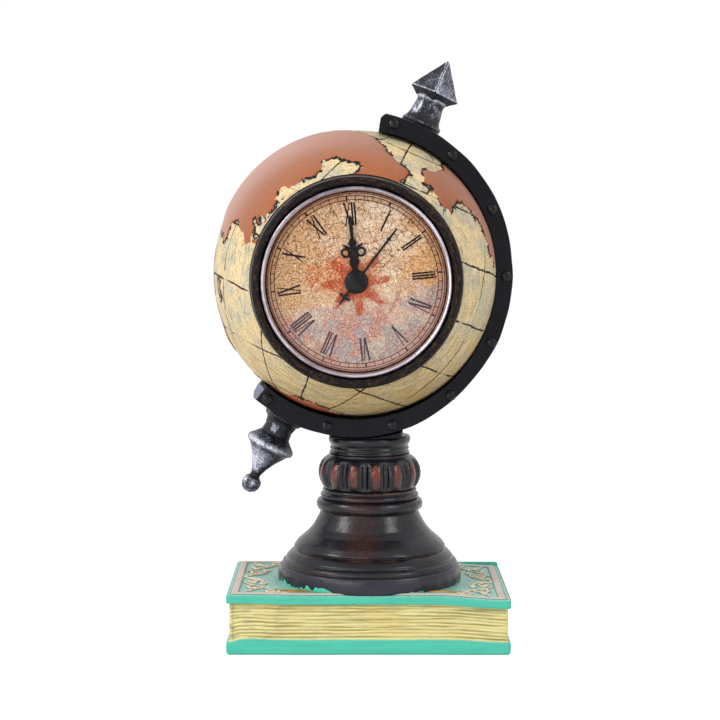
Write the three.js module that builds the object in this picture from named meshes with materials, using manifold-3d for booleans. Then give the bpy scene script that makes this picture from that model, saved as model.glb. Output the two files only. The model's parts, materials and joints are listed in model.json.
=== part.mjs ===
// Globe clock: a round quartz clock insert in the front of a hollow globe. A riveted arc
// carries the globe on a turned pedestal, and the pedestal stands on a closed book.
// Millimetres, +Z up, the front looks along -Y. The origin is the middle of the resting face.

import * as THREE from 'three';
import { mergeVertices } from 'three/addons/utils/BufferGeometryUtils.js';
import Module from 'manifold-3d';

const wasm = await Module();
wasm.setup();

// Fits and facets
const fitGap = 0.3;
const seatGap = 0.1;
const cutOver = 2;
const weldDistance = 0.0001;
const roundSegments = 36;
const pedestalSegments = 30;
const smallSegments = 12;
const pinSegments = 8;
const cornerSegments = 3;
const quarterTurnShares = [0, 1 / 3, 2 / 3, 1];
const leastCornerShare = 0.25;

// Book
const bookWidth = 105.8;
const boardDepth = 70.3;
const boardMiddleY = -0.85;
const feltThickness = 0.8;
const feltInset = 3;
const lowerBoardThickness = 5.2;
const pageBlockHeight = 13.2;
const upperBoardThickness = 3.2;
const pageInset = 1;
const leafGrooveDepth = 0.5;
const leafGrooveCount = 9;
const boardCornerRadius = 1.2;
const boardEdgeRound = 0.5;
const lowerEdgeRound = 1.3;
const spineThickness = 1.4;
const spineBulge = 1.6;
const borderInset = 2;
const borderWidth = 2.4;
const borderHeight = 0.6;

// Tie bolt up through the book and the pedestal into the arc
const boltRadius = 3;
const boltHeadRadius = 5;
const boltHeadHeight = 2.4;
const boltHeadSides = 6;
const boltDepthInArc = 4;
const washerRadius = 8;
const washerThickness = 1;

// Pedestal
const pedestalX = 0.55;
const footRadius = 35.6;
const footHeight = 36;
const footShares = [
  [1, 0], [1, 0.14], [0.985, 0.16], [0.965, 0.165], [0.962, 0.195], [0.943, 0.235], [0.9, 0.28],
  [0.878, 0.303], [0.852, 0.328], [0.843, 0.365], [0.815, 0.413], [0.767, 0.455], [0.687, 0.523],
  [0.63, 0.587], [0.582, 0.652], [0.545, 0.733], [0.553, 0.762], [0.575, 0.808], [0.579, 0.84],
  [0.566, 0.872], [0.53, 0.92], [0.512, 0.96], [0.494, 1],
];
const knopRadius = 20;
const knopHeight = 13.6;
const knopLobes = 14;
const knopPointsPerLobe = 4;
const knopShares = [
  [0.88, 0, 0], [0.945, 0.16, 0.07], [0.99, 0.33, 0.12], [1, 0.5, 0.13], [0.975, 0.66, 0.12],
  [0.89, 0.82, 0.07], [0.775, 1, 0],
];
const collarRadius = 15.95;
const collarHeight = 7;
const collarShares = [
  [0.97, 0], [0.95, 0.1], [0.95, 0.36], [0.965, 0.46], [0.995, 0.62], [1, 0.76], [0.985, 0.9], [0.95, 1],
];
const saddleWidth = 28.4;
const saddleDepth = 31;
const saddleOffset = -1.4;
const saddleCornerRadius = 8;
const saddleReach = 12;
const saddleFloor = 0.1;

// Globe and the arc that holds it
const globeX = -4.5;
const globeRadius = 55;
const globeWall = 4;
const globeSegments = 36;
const globeInnerSegments = 18;
const arcSideThickness = 3.9;
const arcBottomThickness = 6.6;
const arcDepth = 32;
const arcStartAngle = 8.8;
const arcEndAngle = 222.6;
const arcEndChamfer = 0.8;
const arcSegments = 30;
const arcRootShares = [1, 0.75, 0.5, 0.25, 0];
const rivetCount = 9;
const rivetStartGapAngle = 5.6;
const rivetEndGapAngle = 5.8;
const rivetSideDistance = 2.6;
const rivetTopDistance = 3.3;
const rivetHeadRadius = 2.1;
const rivetHeadHeight = 1.3;
const rivetShankRadius = 1;
const rivetShankLength = 4;
const rivetDomeShares = [0, 0.4, 0.75, 1];

// Finials, each measured along its own axis from the middle of the globe
const topFinialAngle = 23.4;
const bottomFinialAngle = 206.8;
const finialPinRadius = 2.5;
const finialPinDepth = 2.6;
const topFinialLength = 26.8;
const topFlangeRadius = 7.75;
const topFinialShares = [
  [1, 0], [1, 0.05], [0.9, 0.07], [0.76, 0.14], [0.73, 0.28], [0.74, 0.4], [0.8, 0.44],
];
const topSpearHalfDiagonal = 9.6;
const topSpearSides = 4;
const topSpearShares = [[0.6, 0.38], [0.93, 0.47], [1, 0.5], [1, 0.54], [0.04, 1]];
const bottomFinialLength = 33.1;
const bottomDiscRadius = 9.6;
const bottomFinialShares = [
  [0.8, 0], [0.8, 0.04], [0.66, 0.08], [0.58, 0.17], [0.64, 0.26], [0.95, 0.36], [1, 0.39],
  [1, 0.42], [0.86, 0.45], [0.57, 0.55], [0.33, 0.67], [0.19, 0.78], [0.23, 0.81], [0.36, 0.85],
  [0.38, 0.89], [0.33, 0.95], [0.18, 0.99], [0, 1],
];

// Ring around the clock insert. The ring's edge is a list of [inwards, backwards] shares of its wall.
const dialDrop = 1.6;
const ringWall = 3.7;
const ringProud = 4.7;
const ringDepth = 15;
const ringSeatWidth = 4;
const ringEdgeShares = [[0, 0.43], [0.13, 0.13], [0.43, 0], [0.86, 0.09], [1, 0.29]];

// Clock insert
const insertTurn = 5.5;
const bezelRadius = 35;
const bezelWall = 1.8;
const bezelProud = 0.5;
const bezelEdge = 0.9;
const lensGrooveDepth = 0.6;
const lensThickness = 1;
const lensLip = 1.3;
const dialThickness = 0.3;
const caseFlangeThickness = 0.7;
const caseWall = 1.7;
const gripRingThickness = 1.1;
const gripRingSetback = 1;
const gripRingLength = 6;
const gripRibCount = 2;
const gripRibDepth = 0.4;
const backCoverThickness = 1.2;

// Hands, drawn in shares of their own length. A bar is [half width at the hub, half width at the
// end, start, end], a blade is [half width, low end, widest place, high end], and a disc or a loop
// is [outer radius, inner radius, distance to the side, distance along the hand].
const handThickness = 0.3;
const handGap = 0.3;
const handClearance = 0.5;
const hourHandLength = 17.5;
const hourHubRadius = 4.4;
const hourBarShares = [0.05, 0.035, 0.12, 0.9];
const hourBulgeShares = [0.1, 0.3, 0.42, 0.52];
const hourTipShares = [0.085, 0.66, 0.86, 1];
const hourDiscShares = [0.09, 0, 0, 0.58];
const hourLoopShares = [0.1, 0.054, 0.16, 0.63];
const minuteHandLength = 24.5;
const minuteHubRadius = 3.6;
const minuteBarShares = [0.021, 0.013, 0.07, 0.85];
const minuteTipShares = [0.034, 0.75, 0.9, 1];
const secondHandLength = 24.5;
const secondTailLength = 10.3;
const secondHubRadius = 3.1;
const secondHandAngle = 42.7;
const secondBarShares = [0.0105, 0.0105, 0, 0.96];
const secondTipShares = [0.0275, 0.76, 0.8, 1];
const secondTailBarShares = [0.025, 0.025, 0, 0.8];
const secondTailBladeShares = [0.1, 0.6, 0.75, 1];

// Arbors and wheels
const arborRadius = 0.5;
const cannonWall = 0.4;
const hourPipeWall = 0.5;
const wheelThickness = 0.9;
const wheelGap = 0.4;
const plateThickness = 1;
const pivotDepth = 0.6;
const trainModule = 0.3;
const cannonModule = 0.4;
const pinionTeeth = 8;
const cannonTeeth = 12;
const minutePinionTeeth = 10;
const fifthWheelTeeth = 40;
const fourthWheelTeeth = 48;
const thirdWheelTeeth = 60;
const centreWheelTeeth = 64;
const minuteWheelTeeth = 36;
const hourWheelTeeth = 40;
const thirdAxisAngle = 120;
const fifthAxisAngle = 60;
const rotorAxisAngle = 20;
const minuteAxisAngle = -90;
const pinionToothShares = [[-1.2, -0.26], [0.7, -0.08], [0.7, 0.08], [-1.2, 0.26]];
const wheelToothShares = [[-1.3, -0.5], [0.6, 0]];

// Motor, circuit and battery
const rotorRadius = 2.6;
const rotorThickness = 1.8;
const statorThickness = 1;
const statorRingWidth = 1.6;
const statorArmWidth = 2.6;
const coilEdgeDistance = 8.1;
const coilLowY = -12;
const coilHalfWidth = 2.2;
const coilEndGap = 2.4;
const coreWidth = 2;
const boardX = 8;
const boardY = 4;
const circuitWidth = 22;
const circuitHeight = 16;
const circuitThickness = 0.8;
const crystalRadius = 1;
const crystalLength = 6;
const batteryX = -12;
const batteryY = -6;
const batteryRadius = 5.8;
const batteryHeight = 5.4;
const batteryEdge = 0.5;
const contactThickness = 0.3;
const contactWidth = 3;
const contactLength = 9;
const batteryDoorRadius = 7.2;
const batteryDoorThickness = 1.6;
const doorSlotLength = 10;
const doorSlotWidth = 1.4;
const doorSlotDepth = 0.7;
const knobRadius = 4.5;
const knobHeight = 3.6;
const knobFlutes = 12;
const knobFluteShare = 0.08;
const knobStemRadius = 0.9;

// Heights of the stand, and the sizes of the arc, which follow from the sizes above
const bookTopZ = feltThickness + lowerBoardThickness + pageBlockHeight + upperBoardThickness;
const bookFrontY = boardMiddleY - boardDepth / 2;
const footTopZ = bookTopZ + footHeight;
const knopTopZ = footTopZ + knopHeight;
const collarTopZ = knopTopZ + collarHeight;
const boltHoleRadius = boltRadius + fitGap;
const arcBore = globeRadius + fitGap;
const arcHalfWidth = arcBore + arcSideThickness;
const arcHalfHeight = arcBore + arcBottomThickness;
const arcFrontY = -arcDepth / 2;
const arcRootRadius = Math.sqrt(arcBore ** 2 - arcFrontY ** 2) - cutOver;
const globeZ = collarTopZ + saddleFloor + fitGap + arcHalfHeight;
const rivetHalfWidth = arcHalfWidth - rivetSideDistance;
const rivetHalfHeight = arcHalfHeight - rivetTopDistance;
const rivetFirstAngle = arcStartAngle + rivetStartGapAngle;
const rivetStepAngle = (arcEndAngle - rivetEndGapAngle - rivetFirstAngle) / (rivetCount - 1);

// Radii of the ring and the clock insert, from the bezel inwards and outwards
const ringBoreRadius = bezelRadius + fitGap;
const ringRadius = ringBoreRadius + ringWall;
const insertBoreRadius = ringBoreRadius - ringSeatWidth;
const bezelSight = bezelRadius - bezelWall;
const caseFlangeRadius = bezelSight - fitGap;
const caseRadius = insertBoreRadius - gripRingThickness - 2 * fitGap;
const plateRadius = caseRadius - caseWall - fitGap;
const arborBore = arborRadius + fitGap;
const cannonRadius = arborBore + cannonWall;
const hourPipeBore = cannonRadius + fitGap;
const hourPipeRadius = hourPipeBore + hourPipeWall;
const dialBoreRadius = hourPipeRadius + 2 * fitGap;
const coilX = plateRadius - coilEdgeDistance;

// Heights along the dial axis, from the middle of the globe towards the front, listed backwards
const ringFront = Math.sqrt(globeRadius ** 2 - ringRadius ** 2) + ringProud;
const ringRear = ringFront - ringDepth;
const bezelFront = ringFront + bezelProud;
const lensFront = bezelFront - lensLip - fitGap;
const lensBack = lensFront - lensThickness;
const secondHandBack = lensBack - handClearance - handThickness;
const minuteHandBack = secondHandBack - handGap - handThickness;
const hourHandBack = minuteHandBack - handGap - handThickness;
const dialFront = hourHandBack - handGap;
const dialBack = dialFront - dialThickness;
const caseFrontFace = dialBack - fitGap;
const ringSeat = caseFrontFace - caseFlangeThickness - fitGap;
const caseInnerFace = caseFrontFace - caseWall;
const layerPitch = wheelThickness + wheelGap;
const hourLayer = caseInnerFace - layerPitch;
const cannonLayer = hourLayer - layerPitch;
const centreLayer = cannonLayer - layerPitch;
const thirdLayer = centreLayer - layerPitch;
const middlePlateBack = thirdLayer - wheelGap - plateThickness;
const fourthLayer = middlePlateBack - layerPitch;
const fifthLayer = fourthLayer - layerPitch;
const rotorBack = fifthLayer - wheelGap - rotorThickness;
const rearPlateBack = rotorBack - wheelGap - plateThickness;
const batteryFront = rearPlateBack - contactThickness - 2 * fitGap;
const batteryBack = batteryFront - batteryHeight;
const backCoverFront = batteryBack - wheelGap;
const backCoverBack = backCoverFront - backCoverThickness;
const caseRear = backCoverFront + fitGap;

// Axes of the wheels, as places on the dial axis's own plane
const thirdDistance = trainModule * (pinionTeeth + thirdWheelTeeth) / 2;
const fifthDistance = trainModule * (pinionTeeth + fourthWheelTeeth) / 2;
const rotorDistance = trainModule * (pinionTeeth + fifthWheelTeeth) / 2;
const minuteDistance = cannonModule * (cannonTeeth + minuteWheelTeeth) / 2;
const centreModule = 2 * thirdDistance / (pinionTeeth + centreWheelTeeth);
const hourModule = 2 * minuteDistance / (minutePinionTeeth + hourWheelTeeth);
const thirdAxis = polar(thirdDistance, radians(thirdAxisAngle));
const fifthAxis = polar(fifthDistance, radians(fifthAxisAngle));
const rotorAxis = polar(rotorDistance, radians(rotorAxisAngle)).add(fifthAxis);
const minuteAxis = polar(minuteDistance, radians(minuteAxisAngle));
const knobAxis = minuteAxis.clone().multiplyScalar(2);
const dialCentre = new THREE.Vector2();

// Finishes
const feltFinish = { color: 0x2c3a30, roughness: 1, metalness: 0 };
const bookClothFinish = { color: 0x55c8aa, roughness: 0.6, metalness: 0 };
const pageFinish = { color: 0xe6d78c, roughness: 0.8, metalness: 0 };
const borderFinish = { color: 0xd8cfa4, roughness: 0.7, metalness: 0 };
const darkPaintFinish = { color: 0x2a211f, roughness: 0.45, metalness: 0 };
const arcPaintFinish = { color: 0x1c1c21, roughness: 0.4, metalness: 0 };
const globePaintFinish = { color: 0xe3cf92, roughness: 0.65, metalness: 0 };
const silverPaintFinish = { color: 0xa5a6a8, roughness: 0.4, metalness: 0.5 };
const bronzePaintFinish = { color: 0x2b1d17, roughness: 0.45, metalness: 0.2 };
const steelFinish = { color: 0xb9bcc0, roughness: 0.35, metalness: 1 };
const chromeFinish = { color: 0xd6d8dc, roughness: 0.12, metalness: 1 };
const glassFinish = { color: 0xf2f6f8, roughness: 0.05, metalness: 0, transparent: true, opacity: 0.2 };
const dialFinish = { color: 0xd9b08a, roughness: 0.7, metalness: 0 };
const handFinish = { color: 0x101012, roughness: 0.35, metalness: 0 };
const blackPlasticFinish = { color: 0x1d1d1f, roughness: 0.55, metalness: 0 };
const whitePlasticFinish = { color: 0xe9e7e0, roughness: 0.5, metalness: 0 };
const rubberFinish = { color: 0x3a3a3a, roughness: 0.9, metalness: 0 };
const brassFinish = { color: 0xc9a44c, roughness: 0.35, metalness: 1 };
const copperFinish = { color: 0xb5652c, roughness: 0.4, metalness: 1 };
const circuitFinish = { color: 0x2f6b3c, roughness: 0.6, metalness: 0 };

function radians(degrees) {
  return THREE.MathUtils.degToRad(degrees);
}

function polar(radius, angle) {
  return new THREE.Vector2(radius * Math.cos(angle), radius * Math.sin(angle));
}

// Merges shared corners, drops triangles without area and turns the faces outward.
function closed(geometry) {
  const bare = new THREE.BufferGeometry();
  bare.setAttribute('position', geometry.getAttribute('position').clone());
  bare.setIndex(geometry.index ? geometry.index.clone() : null);
  const merged = mergeVertices(bare, weldDistance);
  const corners = merged.getAttribute('position');
  const kept = [];
  let volume = 0;
  const a = new THREE.Vector3();
  const b = new THREE.Vector3();
  const c = new THREE.Vector3();
  for (let i = 0; i < merged.index.count; i += 3) {
    const triangle = [0, 1, 2].map((corner) => merged.index.getX(i + corner));
    if (new Set(triangle).size < 3) continue;
    a.fromBufferAttribute(corners, triangle[0]);
    b.fromBufferAttribute(corners, triangle[1]);
    c.fromBufferAttribute(corners, triangle[2]);
    volume += a.dot(b.cross(c));
    kept.push(triangle);
  }
  const outward = volume > 0 ? kept : kept.map(([i, j, k]) => [i, k, j]);
  merged.setIndex(outward.flat());
  return merged;
}

function solid(geometry) {
  const merged = closed(geometry);
  return new wasm.Manifold(new wasm.Mesh({
    numProp: 3,
    vertProperties: new Float32Array(merged.getAttribute('position').array),
    triVerts: new Uint32Array(merged.index.array),
  }));
}

function geometryOf(body) {
  const mesh = body.getMesh();
  const geometry = new THREE.BufferGeometry();
  const corners = new Float32Array(mesh.vertProperties);
  geometry.setAttribute('position', new THREE.BufferAttribute(corners, 3));
  geometry.setIndex(new THREE.BufferAttribute(new Uint32Array(mesh.triVerts), 1));
  return geometry;
}

function cut(geometry, ...tools) {
  return geometryOf(tools.reduce((body, tool) => body.subtract(solid(tool)), solid(geometry)));
}

function join(geometry, ...others) {
  return geometryOf(others.reduce((body, other) => body.add(solid(other)), solid(geometry)));
}

// A profile of [radius, height] turned about +Z; a ring's profile repeats its first point.
function turned(profile, segments = roundSegments) {
  const points = profile.map(([radius, height]) => new THREE.Vector2(radius, height));
  return new THREE.LatheGeometry(points, segments).rotateX(Math.PI / 2);
}

function rod(radius, low, high, segments = smallSegments) {
  return turned([[0, low], [radius, low], [radius, high], [0, high]], segments);
}

function tubeRing(inner, outer, low, high, segments = roundSegments) {
  return turned([[inner, low], [outer, low], [outer, high], [inner, high], [inner, low]], segments);
}

function extruded(shape, low, high, curveSegments = smallSegments) {
  const options = { depth: high - low, bevelEnabled: false, curveSegments };
  return new THREE.ExtrudeGeometry(shape, options).translate(0, 0, low);
}

function block(width, depth, height, x, y, z) {
  return new THREE.BoxGeometry(width, depth, height).translate(x, y, z);
}

// A solid through a stack of loops with equally many points, closed by a fan at each end.
function lofted(loops) {
  const count = loops[0].length;
  const points = loops.flat();
  const index = [];
  for (let ring = 0; ring < loops.length - 1; ring += 1) {
    for (let i = 0; i < count; i += 1) {
      const here = ring * count + i;
      const next = ring * count + (i + 1) % count;
      index.push(here, next, next + count, here, next + count, here + count);
    }
  }
  const lowHub = points.length;
  const highHub = lowHub + 1;
  const highStart = points.length - count;
  for (let i = 0; i < count; i += 1) {
    const next = (i + 1) % count;
    index.push(next, i, lowHub);
    index.push(highStart + i, highStart + next, highHub);
  }
  const middles = [loops[0], loops[loops.length - 1]].map(middleOf);
  const geometry = new THREE.BufferGeometry().setFromPoints([...points, ...middles]);
  geometry.setIndex(index);
  return geometry;
}

function middleOf(loop) {
  const sum = loop.reduce((total, point) => total.add(point), new THREE.Vector3());
  return sum.divideScalar(loop.length);
}

// A level rectangle with round corners, as a loop of points at one height.
function roundedLoop(width, depth, radius, inset, z, middleX = 0, middleY = 0) {
  const loop = [];
  const round = Math.max(radius - inset, radius * leastCornerShare);
  const reachX = width / 2 - inset - round;
  const reachY = depth / 2 - inset - round;
  for (const [signX, signY, quarter] of [[1, 1, 0], [-1, 1, 1], [-1, -1, 2], [1, -1, 3]]) {
    for (let step = 0; step <= cornerSegments; step += 1) {
      const angle = (quarter + step / cornerSegments) * Math.PI / 2;
      const x = middleX + signX * reachX + round * Math.cos(angle);
      const y = middleY + signY * reachY + round * Math.sin(angle);
      loop.push(new THREE.Vector3(x, y, z));
    }
  }
  return loop;
}

function addPiece(group, name, geometry, finish) {
  const mesh = new THREE.Mesh(closed(geometry), new THREE.MeshStandardMaterial(finish));
  mesh.name = name;
  group.add(mesh);
}

// Book

function boltHole(low, high) {
  return rod(boltHoleRadius, low, high).translate(pedestalX, 0, 0);
}

function feltPad() {
  const width = bookWidth - 2 * feltInset;
  const depth = boardDepth - 2 * feltInset;
  return lofted([0, feltThickness].map(
    (z) => roundedLoop(width, depth, boardCornerRadius, 0, z, 0, boardMiddleY),
  ));
}

// A book board: a rounded plate whose lower and upper edges are rounded by their own radii.
function bookBoard(bottom, thickness, lowRound, highRound) {
  const top = bottom + thickness;
  const turns = quarterTurnShares.map((share) => share * Math.PI / 2);
  const lowRings = turns.map(
    (turn) => [lowRound * (1 - Math.sin(turn)), bottom + lowRound * (1 - Math.cos(turn))],
  );
  const highRings = turns.map(
    (turn) => [highRound * (1 - Math.cos(turn)), top - highRound * (1 - Math.sin(turn))],
  );
  return lofted([...lowRings, ...highRings].map(
    ([inset, z]) => roundedLoop(bookWidth, boardDepth, boardCornerRadius, inset, z, 0, boardMiddleY),
  ));
}

function lowerBoard() {
  const bottom = feltThickness;
  const board = bookBoard(bottom, lowerBoardThickness, lowerEdgeRound, boardEdgeRound);
  const pocketTop = boltHeadTop() + seatGap + washerThickness + seatGap;
  const pocket = rod(washerRadius + fitGap, bottom - cutOver, pocketTop, roundSegments);
  return cut(board, pocket.translate(pedestalX, 0, 0), boltHole(0, bookTopZ));
}

// The leaves show as level grooves round the front and both ends of the block.
function pageBlock() {
  const bottom = feltThickness + lowerBoardThickness;
  const loops = [];
  for (let i = 0; i <= 2 * leafGrooveCount; i += 1) {
    const z = bottom + pageBlockHeight * i / (2 * leafGrooveCount);
    const groove = i % 2 === 0 ? 0 : leafGrooveDepth;
    const halfWidth = bookWidth / 2 - pageInset - groove;
    const front = bookFrontY + pageInset + groove;
    const back = bookFrontY + boardDepth;
    loops.push([
      new THREE.Vector3(halfWidth, back, z), new THREE.Vector3(-halfWidth, back, z),
      new THREE.Vector3(-halfWidth, front, z), new THREE.Vector3(halfWidth, front, z),
    ]);
  }
  return cut(lofted(loops), boltHole(0, bookTopZ));
}

function upperBoard() {
  const bottom = feltThickness + lowerBoardThickness + pageBlockHeight;
  const board = bookBoard(bottom, upperBoardThickness, boardEdgeRound, boardEdgeRound);
  return cut(board, boltHole(0, bookTopZ + cutOver));
}

// A strip along the back of the book whose outer face bulges in one even curve.
function bookSpine() {
  const back = bookFrontY + boardDepth;
  const outer = back + spineThickness;
  const middleZ = (feltThickness + bookTopZ) / 2;
  const profile = new THREE.Shape();
  profile.moveTo(back, feltThickness);
  profile.lineTo(outer, feltThickness);
  profile.quadraticCurveTo(outer + 2 * spineBulge, middleZ, outer, bookTopZ);
  profile.lineTo(back, bookTopZ);
  const strip = extruded(profile, -bookWidth / 2, bookWidth / 2, pinSegments);
  const across = new THREE.Matrix4().makeBasis(
    new THREE.Vector3(0, 1, 0), new THREE.Vector3(0, 0, 1), new THREE.Vector3(1, 0, 0),
  );
  return strip.applyMatrix4(across);
}

// The raised strip round the cover stops at the pedestal, which leaves a left and a right half.
function coverBorder(side) {
  const width = bookWidth - 2 * borderInset;
  const depth = boardDepth - 2 * borderInset;
  const plate = (inset, low, high) => lofted([low, high].map(
    (z) => roundedLoop(width, depth, boardCornerRadius, inset, z, 0, boardMiddleY),
  ));
  const top = bookTopZ + borderHeight;
  const frame = plate(0, bookTopZ, top);
  const opening = plate(borderWidth, bookTopZ - cutOver, top + cutOver);
  const foot = rod(footRadius + fitGap, bookTopZ - cutOver, top + cutOver, roundSegments);
  const otherHalf = block(bookWidth, bookWidth, bookTopZ, -side * bookWidth / 2, 0, bookTopZ);
  return cut(frame, opening, foot.translate(pedestalX, 0, 0), otherHalf);
}

function boltHeadTop() {
  return feltThickness + fitGap + boltHeadHeight;
}

function tieBolt() {
  const headTop = boltHeadTop();
  const end = globeZ - arcHalfHeight + boltDepthInArc - fitGap;
  const head = rod(boltHeadRadius, headTop - boltHeadHeight, headTop, boltHeadSides);
  const shank = rod(boltRadius, headTop - boltHeadHeight / 2, end);
  return join(head, shank).translate(pedestalX, 0, 0);
}

function boltWasher() {
  const bottom = boltHeadTop() + seatGap;
  const top = bottom + washerThickness;
  const washer = tubeRing(boltHoleRadius, washerRadius, bottom, top, smallSegments);
  return washer.translate(pedestalX, 0, 0);
}

// Pedestal

// A turned piece on the pedestal axis, bored for the tie bolt.
function pedestalTurning(shares, radius, bottom, height) {
  const outline = shares.map(([wide, high]) => [wide * radius, bottom + high * height]);
  const top = bottom + height;
  const bore = [[boltHoleRadius, top], [boltHoleRadius, bottom]];
  const profile = [[boltHoleRadius, bottom], ...outline, ...bore];
  return turned(profile, pedestalSegments).translate(pedestalX, 0, 0);
}

function pedestalFoot() {
  return pedestalTurning(footShares, footRadius, bookTopZ, footHeight);
}

function pedestalCollar() {
  return pedestalTurning(collarShares, collarRadius, knopTopZ, collarHeight);
}

// The knop's radius dips between the lobes by a share that fades to none at both ends.
function pedestalKnop() {
  const count = knopLobes * knopPointsPerLobe;
  const loops = knopShares.map(([wide, high, dip]) => {
    const loop = [];
    for (let i = 0; i < count; i += 1) {
      const angle = i / count * 2 * Math.PI;
      const lobe = Math.abs(Math.cos(angle * knopLobes / 2));
      const radius = knopRadius * wide * (1 - dip + dip * lobe);
      const x = pedestalX + radius * Math.cos(angle);
      loop.push(new THREE.Vector3(x, radius * Math.sin(angle), footTopZ + high * knopHeight));
    }
    return loop;
  });
  return cut(lofted(loops), boltHole(footTopZ - cutOver, knopTopZ + cutOver));
}

// A short block between the collar and the arc, hollowed by the arc's outer curve.
function saddleBlock() {
  const middleX = pedestalX + saddleOffset;
  const body = lofted([collarTopZ, collarTopZ + saddleReach].map(
    (z) => roundedLoop(saddleWidth, saddleDepth, saddleCornerRadius, 0, z, middleX, 0),
  ));
  const arcSpace = arcPrism(arcHalfWidth + fitGap, arcHalfHeight + fitGap, arcDepth + 2 * cutOver);
  return cut(body, arcSpace, boltHole(0, globeZ));
}

// Globe and arc

// A full ellipse in the plane of the arc, extruded evenly to the front and the back.
function arcPrism(halfWidth, halfHeight, depth) {
  const outline = new THREE.Shape();
  outline.absellipse(0, 0, halfWidth, halfHeight, 0, 2 * Math.PI);
  const prism = extruded(outline, -depth / 2, depth / 2, 2 * arcSegments);
  return prism.rotateX(Math.PI / 2).translate(globeX, 0, globeZ);
}

// Clock-face angles, from straight up towards the right, as seen from the front.
function arcPoint(degrees, halfWidth, halfHeight) {
  const angle = radians(degrees);
  return new THREE.Vector2(halfWidth * Math.sin(angle), halfHeight * Math.cos(angle));
}

function globeBall(radius, segments = globeSegments) {
  const ball = new THREE.SphereGeometry(radius, segments, segments / 2);
  return ball.rotateX(Math.PI / 2).rotateY(radians(topFinialAngle)).translate(globeX, 0, globeZ);
}

function onPolarAxis(geometry, degrees) {
  return geometry.rotateY(radians(degrees)).translate(globeX, 0, globeZ);
}

// Where a finial sits: just off the arc's outer curve, in the finial's own direction.
function finialSeat(degrees) {
  const across = Math.sin(radians(degrees)) / arcHalfWidth;
  const upward = Math.cos(radians(degrees)) / arcHalfHeight;
  return 1 / Math.hypot(across, upward) + fitGap;
}

function pinHole(degrees) {
  const low = globeRadius - globeWall - cutOver;
  const high = finialSeat(degrees) + cutOver;
  return onPolarAxis(rod(finialPinRadius + fitGap, low, high), degrees);
}

function rivetPlace(index) {
  return arcPoint(rivetFirstAngle + index * rivetStepAngle, rivetHalfWidth, rivetHalfHeight);
}

function rivetHole(index) {
  const place = rivetPlace(index);
  const front = -arcFrontY;
  const depth = rivetShankLength + fitGap;
  const hole = rod(rivetShankRadius + fitGap, front - depth, front + cutOver, pinSegments);
  return toFront(hole.translate(place.x, place.y, 0)).translate(globeX, 0, globeZ);
}

// Turns a piece drawn face up so that it looks to the front, with +Y as up.
function toFront(geometry) {
  return geometry.rotateX(Math.PI / 2);
}

function meridianArc() {
  const sweep = arcEndAngle - arcStartAngle;
  const shortened = THREE.MathUtils.radToDeg(arcEndChamfer / arcHalfWidth);
  const endWidth = arcHalfWidth - arcEndChamfer;
  const endHeight = arcHalfHeight - arcEndChamfer;
  const startCorner = arcPoint(arcStartAngle, endWidth, endHeight);
  const endCorner = arcPoint(arcEndAngle, endWidth, endHeight);
  const sector = new THREE.Shape();
  sector.moveTo(startCorner.x, startCorner.y);
  for (let i = 0; i <= arcSegments; i += 1) {
    const degrees = arcStartAngle + shortened + (sweep - 2 * shortened) * i / arcSegments;
    const point = arcPoint(degrees, arcHalfWidth, arcHalfHeight);
    sector.lineTo(point.x, point.y);
  }
  sector.lineTo(endCorner.x, endCorner.y);
  for (const share of arcRootShares) {
    const point = arcPoint(arcStartAngle + sweep * share, arcRootRadius, arcRootRadius);
    sector.lineTo(point.x, point.y);
  }
  const body = toFront(extruded(sector, -arcDepth / 2, arcDepth / 2)).translate(globeX, 0, globeZ);
  const holes = [pinHole(topFinialAngle), pinHole(bottomFinialAngle)];
  for (let i = 0; i < rivetCount; i += 1) holes.push(rivetHole(i));
  const boltSpace = boltHole(0, globeZ - arcHalfHeight + boltDepthInArc);
  return cut(body, globeBall(arcBore), boltSpace, ...holes);
}

// A domed head on the front face of the arc, with a short shank in its hole.
function arcRivet(index) {
  const place = rivetPlace(index);
  const seat = -arcFrontY + seatGap;
  const shankEnd = seat - rivetShankLength;
  const turns = rivetDomeShares.map((share) => share * Math.PI / 2);
  const dome = turns.map(
    (turn) => [rivetHeadRadius * Math.cos(turn), seat + rivetHeadHeight * Math.sin(turn)],
  );
  const profile = [[0, shankEnd], [rivetShankRadius, shankEnd], [rivetShankRadius, seat], ...dome];
  const rivet = turned(profile, pinSegments).translate(place.x, place.y, 0);
  return toFront(rivet).translate(globeX, 0, globeZ);
}

function ringBore() {
  const bore = rod(ringRadius + fitGap, ringRear - cutOver, globeRadius + cutOver, roundSegments);
  return toFront(bore).translate(globeX, 0, globeZ - dialDrop);
}

// One half of the hollow globe: side -1 is the front half, 1 the rear half.
function globeShell(side) {
  const size = 2 * globeRadius + 2 * cutOver;
  const otherHalf = block(size, size, size, globeX, -side * size / 2, globeZ);
  const hollow = globeBall(globeRadius - globeWall, globeInnerSegments);
  const shell = cut(globeBall(globeRadius), hollow, otherHalf);
  const holes = [pinHole(topFinialAngle), pinHole(bottomFinialAngle)];
  if (side < 0) holes.push(ringBore());
  return cut(shell, ...holes);
}

// Finials

function finialPin(seat) {
  return rod(finialPinRadius, globeRadius - finialPinDepth, seat + fitGap);
}

function alongFinial(shares, radius, seat, length) {
  return shares.map(([wide, high]) => [wide * radius, seat + high * length]);
}

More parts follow.
